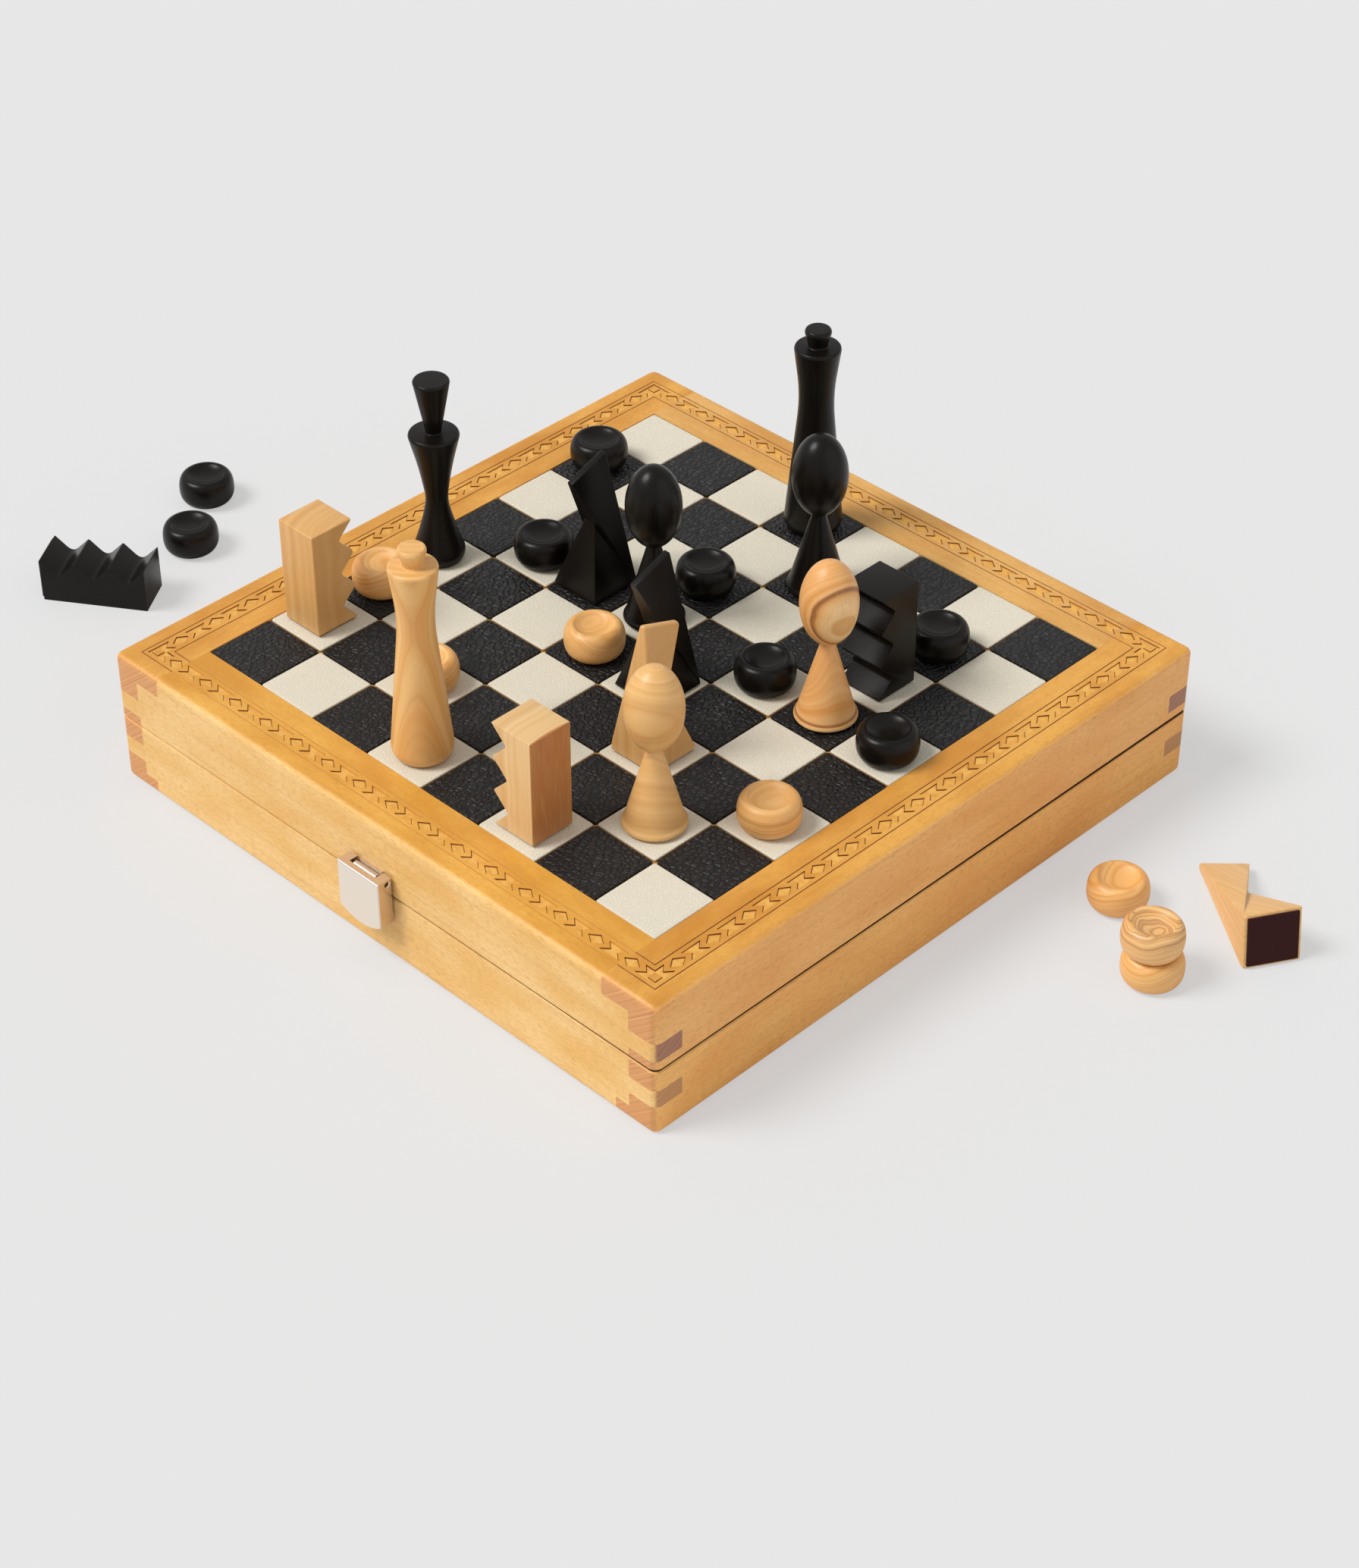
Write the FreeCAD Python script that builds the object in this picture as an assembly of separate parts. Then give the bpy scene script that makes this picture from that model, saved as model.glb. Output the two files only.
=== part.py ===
import FreeCAD, Part
import math
import os

Vector = FreeCAD.Vector

# Case: two trays that close on each other at mid height, lengths in millimetres
square = 27.75
squares_per_side = 8
frame_width = 24.0
half_height = 27.0
wall = 12.0
lid_flange = 7.5
floor_flange = 6.0
floor_ledge = 18.0
panel_tongue = 4.0
panel_tongue_height = 2.2
lid_tongue_rise = 4.3
lid_tongue_height = 7.4
case_tongue_drop = 8.2
case_tongue_height = 7.0
corner_round = 3.2
edge_round = 2.4
seam_bevel = 0.8

# Leather: squares on the lid, long points inside both trays
tile_gap = 0.7
tile_height = 1.2
point_height = 0.6
point_length = 96.0
point_gap = 2.0
points_per_side = 6

# Butt hinges let into the seam at the back
hinge_spacing = 150.0
leaf_length = 36.0
leaf_width = 9.0
leaf_height = 1.2
knuckle_radius = 2.2
knuckle_gap = 0.15
hinge_pin_radius = 1.0
running_clearance = 0.05
swing_clearance = 0.2

# Countersunk wood screws, alike in the hinges and the latch
screw_head_radius = 1.5
screw_head_height = 0.8
screw_shank_radius = 0.7
screw_length = 6.0
leaf_screw_spacing = 22.0
latch_screw_spacing = 6.0
latch_screw_lift = 2.2
keeper_screw_spacing = 10.0

# Latch on the front: a plate on the lid, a swinging flap and a keeper below the seam
latch_width = 20.5
latch_shift = 1.7
latch_rise = 9.5
latch_drop = 9.4
latch_lip = 3.1
latch_depth = 6.0
latch_stand_off = 1.0
latch_skin = 1.4
latch_edge_round = 0.6
latch_axis_depth = 2.8
latch_swing_clearance = 0.1
latch_knuckle_radius = 1.5
latch_pin_radius = 0.8
latch_pin_recess = 0.2
latch_plate_width = 11.0
latch_plate_lift = 1.5
latch_plate_thickness = 1.2
latch_slot_width = 13.0
keeper_width = 14.0
keeper_nose_width = 5.0
keeper_top_drop = 2.0
keeper_height = 8.0
keeper_nose_height = 4.0
keeper_gap = 0.3

# Felt under every figure
felt_height = 0.7
felt_inset = 0.8

# Discs: pawns and backgammon men
disc_radius = 11.0
disc_height = 12.0
disc_edge = 3.0
disc_dish = 1.6
disc_spacing_gap = 0.4

# King, turned: each rise is counted from the ring below it
king_base_radius = 11.0
king_foot_draw = 1.6
king_foot_height = 6.0
king_hollow = 0.35
king_waist_radius = 6.0
king_waist_height = 56.3
king_rim_radius = 8.6
king_rim_rise = 19.5
king_shoulder_rise = 1.2
king_neck_radius = 3.7
king_neck_rise = 1.3
king_knob_radius = 5.0
king_knob_rim = 1.0
king_knob_rise = 5.7

# Queen, turned, with its rises counted the same way
queen_base_radius = 10.0
queen_foot_draw = 1.4
queen_foot_height = 5.0
queen_waist_radius = 3.8
queen_waist_height = 25.6
queen_hollow = 0.5
queen_rim_radius = 9.4
queen_rim_rise = 27.4
queen_shoulder_rise = 0.6
queen_neck_radius = 3.0
queen_neck_rise = 0.9
queen_crown_radius = 6.75
queen_crown_rim = 0.8
queen_crown_rise = 20.9

# Bishop, turned: an egg on a cone
bishop_base_radius = 11.25
bishop_lip_height = 1.6
bishop_lip_reach = 0.9
bishop_foot_height = 4.0
bishop_neck_radius = 3.3
bishop_neck_height = 29.6
bishop_egg_radius = 10.2
bishop_egg_length = 35.5

# Rook, sawn: a square block with saw teeth down one side
rook_width = 18.0
rook_height = 42.5
rook_teeth = 3
rook_land = 0.6
rook_root_round = 1.5

# Knight, sawn: a leaning blade with a small pyramid in front
knight_width = 21.4
knight_nose_reach = 11.7
knight_nose_height = 48.2
knight_crown_set_back = 4.9
knight_crown_height = 54.2
knight_crown_width = 2.6
knight_chin_height = 28.5
knight_chin_width = 4.6

# Dice and the gap under round pieces that lie down
dice_width = 9.0
dice_bevel = 0.8
seat_gap = 0.3
overrun = 5.0

# Places in squares from the middle of the board, with a turn in degrees
board_place_shares = {
    "black_king": (-0.5, 3.5, 0),
    "black_queen": (-3.5, -0.5, 0),
    "black_bishop_1": (-0.5, 0.5, 0),
    "black_bishop_2": (0.5, 2.5, 0),
    "black_knight_1": (-1.6, 0.52, 0),
    "black_knight_2": (0.57, -0.51, 0),
    "black_rook_1": (2.48, 1.48, 0),
    "black_disc_1": (-3.61, 2.55, 0),
    "black_disc_2": (-2.48, 0.43, 0),
    "black_disc_3": (-0.5, 1.45, 0),
    "black_disc_4": (2.58, 2.52, 0),
    "black_disc_5": (1.51, 0.45, 0),
    "black_disc_6": (3.58, 0.44, 0),
    "light_king": (-0.5, -3.5, 0),
    "light_bishop_1": (2.5, 0.5, 0),
    "light_bishop_2": (2.5, -2.5, 0),
    "light_knight_1": (1.47, -1.5, 180),
    "light_rook_1": (-3.54, -2.51, 180),
    "light_rook_2": (1.49, -3.52, -90),
    "light_disc_1": (-3.5, -1.5, 0),
    "light_disc_2": (-1.5, -2.5, 0),
    "light_disc_3": (-0.52, -0.55, 0),
    "light_disc_4": (3.48, -1.55, 0),
}
# Places beside the case, the same way, with the number of men underneath
table_place_shares = {
    "black_disc_7": (-9.19, 0.01, 0, 0),
    "black_disc_8": (-8.36, -0.96, 0, 0),
    "black_rook_2": (-9.02, -2.97, -56.5, 0),
    "light_disc_5": (5.99, 2.14, 0, 0),
    "light_disc_6": (7.18, 1.32, 0, 0),
    "light_disc_7": (7.14, 1.32, 0, 1),
    "light_knight_2": (8.04, 2.56, 149.4, 0),
}
# Stored pieces: points counted from the front, men counted from the wall, as side, point, men
light_row_shares = ((-1, 5, 5), (1, 0, 2))
dark_row_shares = ((1, 5, 5), (-1, 0, 2))
spare_disc_share = 2.6
dice_shares = ((-0.3, 1.2, 20), (0.4, 1.7, 35))
stored_queen_share = -1.9

half = square * squares_per_side / 2 + frame_width
inside = half - wall
board_edge = half - frame_width
floor_edge = half - floor_ledge
seam = half_height
top = seam + half_height
ceiling = top - lid_flange
board_top = top - tile_height
hinge_y = half + knuckle_radius + swing_clearance
latch_top = seam + latch_rise
latch_axis_drop = math.sqrt(
    (latch_axis_depth - latch_swing_clearance) ** 2 - (latch_axis_depth - latch_stand_off) ** 2
)
latch_axis = Vector(0, -half - latch_axis_depth, latch_top - latch_axis_drop)
latch_back = -half - latch_stand_off
latch_front = latch_back - latch_depth
king_rim_height = king_waist_height + king_rim_rise
king_shoulder_height = king_rim_height + king_shoulder_rise
king_neck_height = king_shoulder_height + king_neck_rise
king_height = king_neck_height + king_knob_rise
queen_rim_height = queen_waist_height + queen_rim_rise
queen_shoulder_height = queen_rim_height + queen_shoulder_rise
queen_neck_height = queen_shoulder_height + queen_neck_rise
queen_height = queen_neck_height + queen_crown_rise


def block(low, high):
    """A box between two opposite corners."""
    size = high - low
    return Part.makeBox(size.x, size.y, size.z, low)


def rod(start, end, radius):
    """A cylinder between two points."""
    way = end - start
    return Part.makeCylinder(radius, way.Length, start, way)


def joined(shapes):
    """One solid from shapes that meet or overlap."""
    return shapes[0].fuse(shapes[1:]).removeSplitter()


def half_turn(shape):
    """The same piece on the opposite side of the case."""
    turned = shape.copy()
    turned.rotate(Vector(0, 0, 0), Vector(0, 0, 1), 180)
    return turned


def prism(corners, way):
    """A straight-sided solid from a flat outline."""
    return Part.Face(Part.makePolygon(corners + corners[:1])).extrude(way)


def rounded_half(low, high):
    """The outer form of one tray, with soft corners and edges, that its walls are cut to."""
    form = block(Vector(-half, -half, low), Vector(half, half, high))
    upright = [e for e in form.Edges if abs(e.Vertexes[0].Z - e.Vertexes[1].Z) > half_height / 2]
    form = form.makeFillet(corner_round, upright)
    outer = low + high - seam
    form = form.makeFillet(edge_round, level_edges(form, outer))
    return form.makeChamfer(seam_bevel, level_edges(form, seam))


def level_edges(form, level):
    """The edges of a form that lie at one height."""
    return [e for e in form.Edges if all(abs(v.Z - level) < edge_round / 2 for v in e.Vertexes)]


def tongue_block(side, tongue_z):
    """The through tongue at one end of a front wall."""
    near, far = sorted((side * inside, side * half))
    return block(Vector(near, -half, tongue_z[0]), Vector(far, -inside, tongue_z[1]))


def front_wall(leg_z, flange_z, edge, tongue_z):
    """An L-section wall between the rails, with a tongue through each rail."""
    leg = block(Vector(-inside, -half, leg_z[0]), Vector(inside, -inside, leg_z[1]))
    flange = block(Vector(-edge, -half, flange_z[0]), Vector(edge, -edge, flange_z[1]))
    return joined([leg, flange, tongue_block(-1, tongue_z), tongue_block(1, tongue_z)])


def left_rail(leg_z, flange_z, edge, tongue_z):
    """An L-section rail of the full length, open at its ends for the tongues."""
    leg = block(Vector(-half, -half, leg_z[0]), Vector(-inside, half, leg_z[1]))
    flange = block(Vector(-half, -half, flange_z[0]), Vector(-edge, half, flange_z[1]))
    sockets = [tongue_block(-1, tongue_z), half_turn(tongue_block(1, tongue_z))]
    return joined([leg, flange]).cut(sockets)


def panel(edge, low, high):
    """A panel and the tongue round it that sits in the walls."""
    middle = (low + high) / 2
    reach = edge + panel_tongue
    plate = block(Vector(-edge, -edge, low), Vector(edge, edge, high))
    tongue = block(
        Vector(-reach, -reach, middle - panel_tongue_height / 2),
        Vector(reach, reach, middle + panel_tongue_height / 2),
    )
    return joined([plate, tongue])


def tray(name, leg_z, flange_z, edge, tongue_z, panel_z):
    """The four walls and the panel of one half of the case."""
    form = rounded_half(min(leg_z + flange_z), max(leg_z + flange_z))
    sheet = panel(edge, panel_z[0], panel_z[1])
    front = front_wall(leg_z, flange_z, edge, tongue_z)
    rail = left_rail(leg_z, flange_z, edge, tongue_z)
    walls = {"front": front, "back": half_turn(front), "left": rail, "right": half_turn(rail)}
    pieces = {f"{name}_{side}_wall": w.common(form).cut(sheet) for side, w in walls.items()}
    return pieces, sheet


def tiles(dark):
    """The leather squares of one colour, each on its own square of the board."""
    pieces = []
    width = square - tile_gap
    for column in range(squares_per_side):
        for row in range(squares_per_side):
            if ((column + row) % 2 == 0) == dark:
                x = column * square - board_edge + tile_gap / 2
                y = row * square - board_edge + tile_gap / 2
                pieces.append(Part.makeBox(width, width, tile_height, Vector(x, y, board_top)))
    return Part.makeCompound(pieces)


def point_middle(number):
    """How far back the middle of a backgammon point lies."""
    return (number + 0.5) * 2 * inside / points_per_side - inside


def points(dark, low):
    """The long leather points of one colour, along the left and right walls of a tray."""
    pieces = []
    reach = inside / points_per_side - point_gap / 2
    for side in (-1, 1):
        for number in range(points_per_side):
            if ((number + (side > 0)) % 2 == 0) == dark:
                y = point_middle(number)
                foot = side * inside
                corners = [
                    Vector(foot, y - reach, low),
                    Vector(foot, y + reach, low),
                    Vector(foot - side * point_length, y, low),
                ]
                pieces.append(prism(corners, Vector(0, 0, point_height)))
    return Part.makeCompound(pieces)


def screw(head, way):
    """A countersunk screw with its head flush at a point, driven along a unit way."""
    neck = head + way * screw_head_height
    cone = Part.makeCone(screw_head_radius, screw_shank_radius, screw_head_height, head, way)
    return joined([cone, rod(neck, head + way * screw_length, screw_shank_radius)])


def screws(side):
    """The screws of one half: side is 1 on the lid and -1 on the tray."""
    heads = []
    for x in (-hinge_spacing / 2, hinge_spacing / 2):
        for end in (-1, 1):
            place = Vector(x + end * leaf_screw_spacing / 2, half - leaf_width / 2, seam)
            heads.append((place, Vector(0, 0, side)))
    height = seam + latch_plate_lift + latch_screw_lift
    spacing = latch_screw_spacing
    if side < 0:
        height = seam - keeper_top_drop - keeper_height / 2
        spacing = keeper_screw_spacing
    for end in (-1, 1):
        place = Vector(latch_shift + end * spacing / 2, -half - latch_plate_thickness, height)
        heads.append((place, Vector(0, 1, 0)))
    return [screw(place, way) for place, way in heads]


def barrel(x, part, radius):
    """One third of a hinge barrel, counted from the left."""
    third = leaf_length / 3
    start = x - leaf_length / 2 + part * third + knuckle_gap / 2
    return rod(
        Vector(start, hinge_y, seam), Vector(start + third - knuckle_gap, hinge_y, seam), radius
    )


def leaf_plate(x, side):
    """The flat of a leaf, let into the seam: side is 1 on the lid and -1 on the tray."""
    low, high = sorted((seam, seam + side * leaf_height))
    return block(
        Vector(x - leaf_length / 2, half - leaf_width, low), Vector(x + leaf_length / 2, half, high)
    )


def hinge_leaf(x, side):
    """A leaf with its own thirds of the barrel, one on the lid and two on the tray."""
    third = leaf_length / 3
    low, high = sorted((seam, seam + side * leaf_height))
    solids = [leaf_plate(x, side)]
    for part in (1,) if side > 0 else (0, 2):
        start = x - leaf_length / 2 + part * third + knuckle_gap / 2
        solids.append(
            block(
                Vector(start, half, low), Vector(start + third - knuckle_gap, hinge_y, high)
            )
        )
        solids.append(barrel(x, part, knuckle_radius))
    reach = Vector(leaf_length, 0, 0)
    middle = Vector(x, hinge_y, seam)
    clearance = running_clearance if side > 0 else 0
    return joined(solids).cut(rod(middle - reach, middle + reach, hinge_pin_radius + clearance))


def hinge_pin(x):
    """The pin of one hinge, held in the leaf on the tray."""
    reach = Vector(leaf_length / 2 - knuckle_gap / 2, 0, 0)
    middle = Vector(x, hinge_y, seam)
    return rod(middle - reach, middle + reach, hinge_pin_radius)


def latch_flap():
    """The swinging flap: a shallow cup, open behind and below, with a slot for the knuckle."""
    side = latch_width / 2
    low = seam - latch_drop
    outline = [
        Part.LineSegment(Vector(-side, latch_front, low), Vector(-side, latch_front, latch_top)),
        Part.LineSegment(Vector(-side, latch_front, latch_top), Vector(side, latch_front, latch_top)),
        Part.LineSegment(Vector(side, latch_front, latch_top), Vector(side, latch_front, low)),
        Part.Arc(
            Vector(side, latch_front, low),
            Vector(0, latch_front, low - latch_lip),
            Vector(-side, latch_front, low),
        ),
    ]
    face = Part.Face(Part.Wire([piece.toShape() for piece in outline]))
    cup = face.extrude(Vector(0, latch_depth, 0))
    rim = [e for e in cup.Edges if all(abs(v.Y - latch_front) < latch_skin / 2 for v in e.Vertexes)]
    cup = cup.makeFillet(latch_edge_round, rim)
    channel = block(
        Vector(latch_skin - side, latch_front + latch_skin, low - latch_lip - overrun),
        Vector(side - latch_skin, latch_back + overrun, latch_top - latch_skin),
    )
    slot_front = latch_axis.y - latch_knuckle_radius - swing_clearance
    slot = block(
        Vector(-latch_slot_width / 2, slot_front, latch_top - latch_skin - overrun),
        Vector(latch_slot_width / 2, latch_back + overrun, latch_top + overrun),
    )
    across = Vector(latch_width, 0, 0)
    bore = rod(latch_axis - across, latch_axis + across, latch_pin_radius + running_clearance)
    return cup.cut([channel, slot, bore])


def latch_plate():
    """The plate on the lid that carries the flap's pin in a knuckle."""
    side = latch_plate_width / 2
    base = block(
        Vector(-side, -half - latch_plate_thickness, seam + latch_plate_lift),
        Vector(side, -half, latch_axis.z + latch_knuckle_radius),
    )
    web = block(
        Vector(-side, latch_axis.y, latch_axis.z - latch_knuckle_radius),
        Vector(side, -half, latch_axis.z),
    )
    across = Vector(side, 0, 0)
    knuckle = rod(latch_axis - across, latch_axis + across, latch_knuckle_radius)
    bore = rod(latch_axis - across * 2, latch_axis + across * 2, latch_pin_radius)
    return joined([base, web, knuckle]).cut(bore)


def latch_keeper():
    """The keeper below the seam, with a round nose that the flap closes over."""
    side = keeper_width / 2
    high = seam - keeper_top_drop
    base = block(
        Vector(-side, -half - latch_plate_thickness, high - keeper_height),
        Vector(side, -half, high),
    )
    reach = latch_front + latch_skin + keeper_gap
    radius = keeper_nose_height / 2
    middle = high - keeper_height / 2
    centre = Vector(-keeper_nose_width / 2, reach + radius, middle)
    nose = rod(centre, centre + Vector(keeper_nose_width, 0, 0), radius)
    stem = block(
        centre - Vector(0, 0, radius),
        Vector(keeper_nose_width / 2, -half, middle + radius),
    )
    return joined([base, stem, nose])


def line(start, end):
    """A straight stretch of a turned outline, each end as radius and height."""
    return Part.LineSegment(Vector(start[0], 0, start[1]), Vector(end[0], 0, end[1])).toShape()


def arc(start, middle, end):
    """A round stretch of a turned outline through three points."""
    through = [Vector(radius, 0, height) for radius, height in (start, middle, end)]
    return Part.Arc(*through).toShape()


def lathe(stretches):
    """A turned solid from an outline that starts and ends on the axis."""
    face = Part.Face(Part.Wire(stretches))
    return face.revolve(Vector(0, 0, 0), Vector(0, 0, 1), 360)


def round_felt(radius):
    """The felt under a turned figure."""
    return Part.makeCylinder(radius - felt_inset, felt_height)


def square_felt(width):
    """The felt under a sawn figure."""
    reach = width / 2 - felt_inset
    return block(Vector(-reach, -reach, 0), Vector(reach, reach, felt_height))


def between(start, end, push):
    """The middle of two outline points, drawn in towards the axis by push."""
    return ((start[0] + end[0]) / 2 - push, (start[1] + end[1]) / 2)


def foot_curve(radius, draw, height):
    """The soft lower edge of a turned figure, with its end points."""
    start = (radius - draw, felt_height)
    end = (radius, height)
    middle = (radius - draw / 4, felt_height + (height - felt_height) / 3)
    return start, end, arc(start, middle, end)


def disc():
    """A man: a barrel-shaped disc with a dished top."""
    flat = disc_radius - disc_edge
    dish_floor = disc_height - disc_dish
    dish_radius = (flat ** 2 + disc_dish ** 2) / (2 * disc_dish)
    dish_centre = dish_floor + dish_radius
    dish_middle = (flat / 2, dish_centre - math.sqrt(dish_radius ** 2 - (flat / 2) ** 2))
    return lathe(
        [
            line((0, 0), (flat, 0)),
            arc((flat, 0), (disc_radius, disc_height / 2), (flat, disc_height)),
            arc((flat, disc_height), dish_middle, (0, dish_floor)),
            line((0, dish_floor), (0, 0)),
        ]
    )


def king():
    """A tall waisted body with a flat shoulder and a flared knob."""
    start, foot, foot_edge = foot_curve(king_base_radius, king_foot_draw, king_foot_height)
    waist = (king_waist_radius, king_waist_height)
    rim = (king_rim_radius, king_rim_height)
    shoulder = (king_rim_radius - king_shoulder_rise, king_shoulder_height)
    collar = (king_neck_radius, king_shoulder_height)
    neck = (king_neck_radius, king_neck_height)
    knob = (king_knob_radius, king_height - king_knob_rim)
    crown = (king_knob_radius - king_knob_rim, king_height)
    body = lathe(
        [
            line((0, felt_height), start),
            foot_edge,
            arc(foot, between(foot, waist, king_hollow), waist),
            arc(waist, between(waist, rim, king_hollow), rim),
            line(rim, shoulder),
            line(shoulder, collar),
            line(collar, neck),
            line(neck, knob),
            line(knob, crown),
            line(crown, (0, king_height)),
            line((0, king_height), (0, felt_height)),
        ]
    )
    return Part.makeCompound([body, round_felt(start[0])])


def queen():
    """Two cones foot to foot, a sharp rim and a smaller cone on top."""
    start, foot, foot_edge = foot_curve(queen_base_radius, queen_foot_draw, queen_foot_height)
    waist = (queen_waist_radius, queen_waist_height)
    rim = (queen_rim_radius, queen_rim_height)
    shoulder = (queen_rim_radius - queen_shoulder_rise, queen_shoulder_height)
    collar = (queen_neck_radius, queen_shoulder_height)
    neck = (queen_neck_radius, queen_neck_height)
    edge = (queen_crown_radius, queen_height - queen_crown_rim)
    crown = (queen_crown_radius - queen_crown_rim, queen_height)
    body = lathe(
        [
            line((0, felt_height), start),
            foot_edge,
            arc(foot, between(foot, waist, queen_hollow), waist),
            arc(waist, between(waist, rim, queen_hollow), rim),
            line(rim, shoulder),
            line(shoulder, collar),
            line(collar, neck),
            line(neck, edge),
            line(edge, crown),
            line(crown, (0, queen_height)),
            line((0, queen_height), (0, felt_height)),
        ]
    )
    return Part.makeCompound([body, round_felt(start[0])])


def bishop():
    """An egg that stands on a plain cone."""
    start = (bishop_base_radius - bishop_lip_reach, felt_height)
    lip = (bishop_base_radius, bishop_lip_height)
    foot = (bishop_base_radius - bishop_lip_reach, bishop_foot_height)
    tall = bishop_egg_length / 2
    sink = tall * math.sqrt(1 - (bishop_neck_radius / bishop_egg_radius) ** 2)
    centre = bishop_neck_height + sink
    neck = (bishop_neck_radius, bishop_neck_height)
    egg = Part.Ellipse(
        Vector(0, 0, centre + tall),
        Vector(bishop_egg_radius, 0, centre),
        Vector(0, 0, centre),
    )
    first = egg.parameter(Vector(bishop_neck_radius, 0, bishop_neck_height))
    last = egg.parameter(Vector(0, 0, centre + tall))
    low, high = sorted((first, last))
    shell = Part.ArcOfEllipse(egg, low, high)
    body = lathe(
        [
            line((0, felt_height), start),
            line(start, lip),
            line(lip, foot),
            line(foot, neck),
            shell.toShape(),
            line((0, centre + tall), (0, felt_height)),
        ]
    )
    return Part.makeCompound([body, round_felt(start[0])])


def rook():
    """A square block with round-rooted saw teeth down its front."""
    face = -rook_width / 2
    pitch = (rook_height - felt_height) / rook_teeth
    leg = (pitch - rook_land) / 2
    slack = rook_root_round * (math.sqrt(2) - 1)
    step = rook_root_round / math.sqrt(2)
    stretches = []
    last = Vector(0, -face, felt_height)
    for tooth in range(rook_teeth):
        low = felt_height + tooth * pitch + rook_land / 2
        middle = low + leg
        tip = Vector(0, face, low)
        root = Vector(0, face + leg, middle)
        start = root - Vector(0, step, step)
        end = root - Vector(0, step, -step)
        corner = tip if tooth else Vector(0, face, felt_height)
        stretches.append(Part.LineSegment(last, corner).toShape())
        if corner != tip:
            stretches.append(Part.LineSegment(corner, tip).toShape())
        stretches.append(Part.LineSegment(tip, start).toShape())
        stretches.append(Part.Arc(start, root - Vector(0, slack, 0), end).toShape())
        last = Vector(0, face, low + pitch - rook_land)
        stretches.append(Part.LineSegment(end, last).toShape())
    head = Vector(0, face, rook_height)
    back = Vector(0, -face, rook_height)
    heel = Vector(0, -face, felt_height)
    for start, end in ((last, head), (head, back), (back, heel)):
        stretches.append(Part.LineSegment(start, end).toShape())
    body = Part.Face(Part.Wire(stretches)).extrude(Vector(rook_width, 0, 0))
    body.translate(Vector(face, 0, 0))
    return Part.makeCompound([body, square_felt(rook_width)])


def knight():
    """A leaning wedge-shaped blade, with a small pyramid that carries its chin."""
    side = knight_width / 2
    across = Vector(knight_width, 0, 0)
    nose = Vector(-side, -knight_nose_reach, knight_nose_height)
    crown = Vector(-side, knight_crown_set_back, knight_crown_height)
    heel = Vector(-side, side, felt_height)
    toe = Vector(-side, -side, felt_height)
    chin_share = (knight_chin_height - felt_height) / (knight_nose_height - felt_height)
    chin = heel + (nose - heel) * chin_share
    slope = (crown.z - nose.z) / (crown.y - nose.y)
    ridge = crown.z + slope * (side - crown.y)
    blade_end = [
        Vector(-side, side, felt_height),
        Vector(side, side, felt_height),
        Vector(knight_crown_width / 2, side, ridge),
        Vector(-knight_crown_width / 2, side, ridge),
    ]
    back = Vector(0, -1, -slope) * (side + knight_nose_reach + overrun)
    blade = prism([nose, crown, heel], across).common(prism(blade_end, back))
    chest = [
        Vector(-side, side, felt_height),
        Vector(side, side, felt_height),
        Vector(knight_chin_width / 2, side, chin.z),
        Vector(-knight_chin_width / 2, side, chin.z),
    ]
    pyramid = prism([toe, heel, chin], across).common(prism(chest, Vector(0, -knight_width, 0)))
    return Part.makeCompound([joined([blade, pyramid]), square_felt(knight_width)])


def stand(shape, x, y, z, turn):
    """A copy of a piece, turned about its own axis and put in its place."""
    placed = shape.copy()
    placed.rotate(Vector(0, 0, 0), Vector(0, 0, 1), turn)
    placed.translate(Vector(x, y, z))
    return placed


def lying_rook(shape):
    """The rook on its plain back, teeth up."""
    laid = shape.copy()
    laid.rotate(Vector(0, 0, 0), Vector(1, 0, 0), -90)
    laid.translate(Vector(0, 0, rook_width / 2))
    return laid


def lying_knight(shape):
    """The knight on one of its broad sides, held by the base edge and the crown."""
    drop = (knight_width - knight_crown_width) / 2 / (knight_crown_height - felt_height)
    laid = shape.copy()
    laid.rotate(Vector(0, 0, 0), Vector(0, 1, 0), 90 + math.degrees(math.atan(drop)))
    laid.translate(Vector(0, 0, -laid.BoundBox.ZMin))
    return laid


def row_of_men(shape, side, number, men):
    """Men in a row on one backgammon point, from the wall towards the middle."""
    pitch = 2 * disc_radius + disc_spacing_gap
    first = inside - disc_radius - disc_spacing_gap
    y = point_middle(number)
    z = floor_flange + point_height
    return [stand(shape, side * (first - man * pitch), y, z, 0) for man in range(men)]


def figures(forms):
    """All pieces that stand on the board or lie beside the case."""
    nodes = {}
    for name, (x, y, turn) in board_place_shares.items():
        form = forms[name.split("_")[1]]
        nodes[name] = stand(form, x * square, y * square, top, turn)
    laid = {
        "disc": forms["disc"],
        "rook": lying_rook(forms["rook"]),
        "knight": lying_knight(forms["knight"]),
    }
    for name, (x, y, turn, men_below) in table_place_shares.items():
        form = laid[name.split("_")[1]]
        nodes[name] = stand(form, x * square, y * square, men_below * disc_height, turn)
    return nodes


def stored(forms):
    """What the closed case holds: the other men, the light queen and the dice."""
    light = [stand(forms["disc"], 0, spare_disc_share * square, floor_flange, 0)]
    for side, number, men in light_row_shares:
        light += row_of_men(forms["disc"], side, number, men)
    dark = []
    for side, number, men in dark_row_shares:
        dark += row_of_men(forms["disc"], side, number, men)
    laid = forms["queen"].copy()
    laid.rotate(Vector(0, 0, 0), Vector(1, 0, 0), -90)
    rest = floor_flange + queen_base_radius + seat_gap
    laid.translate(Vector(0, stored_queen_share * square - queen_height / 2, rest))
    cube = Part.makeBox(dice_width, dice_width, dice_width)
    cube = cube.makeChamfer(dice_bevel, cube.Edges)
    dice = [stand(cube, x * square, y * square, floor_flange, turn) for x, y, turn in dice_shares]
    return {
        "stored_light_discs": Part.makeCompound(light),
        "stored_dark_discs": Part.makeCompound(dark),
        "light_queen": laid,
        "dice": Part.makeCompound(dice),
    }


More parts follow.
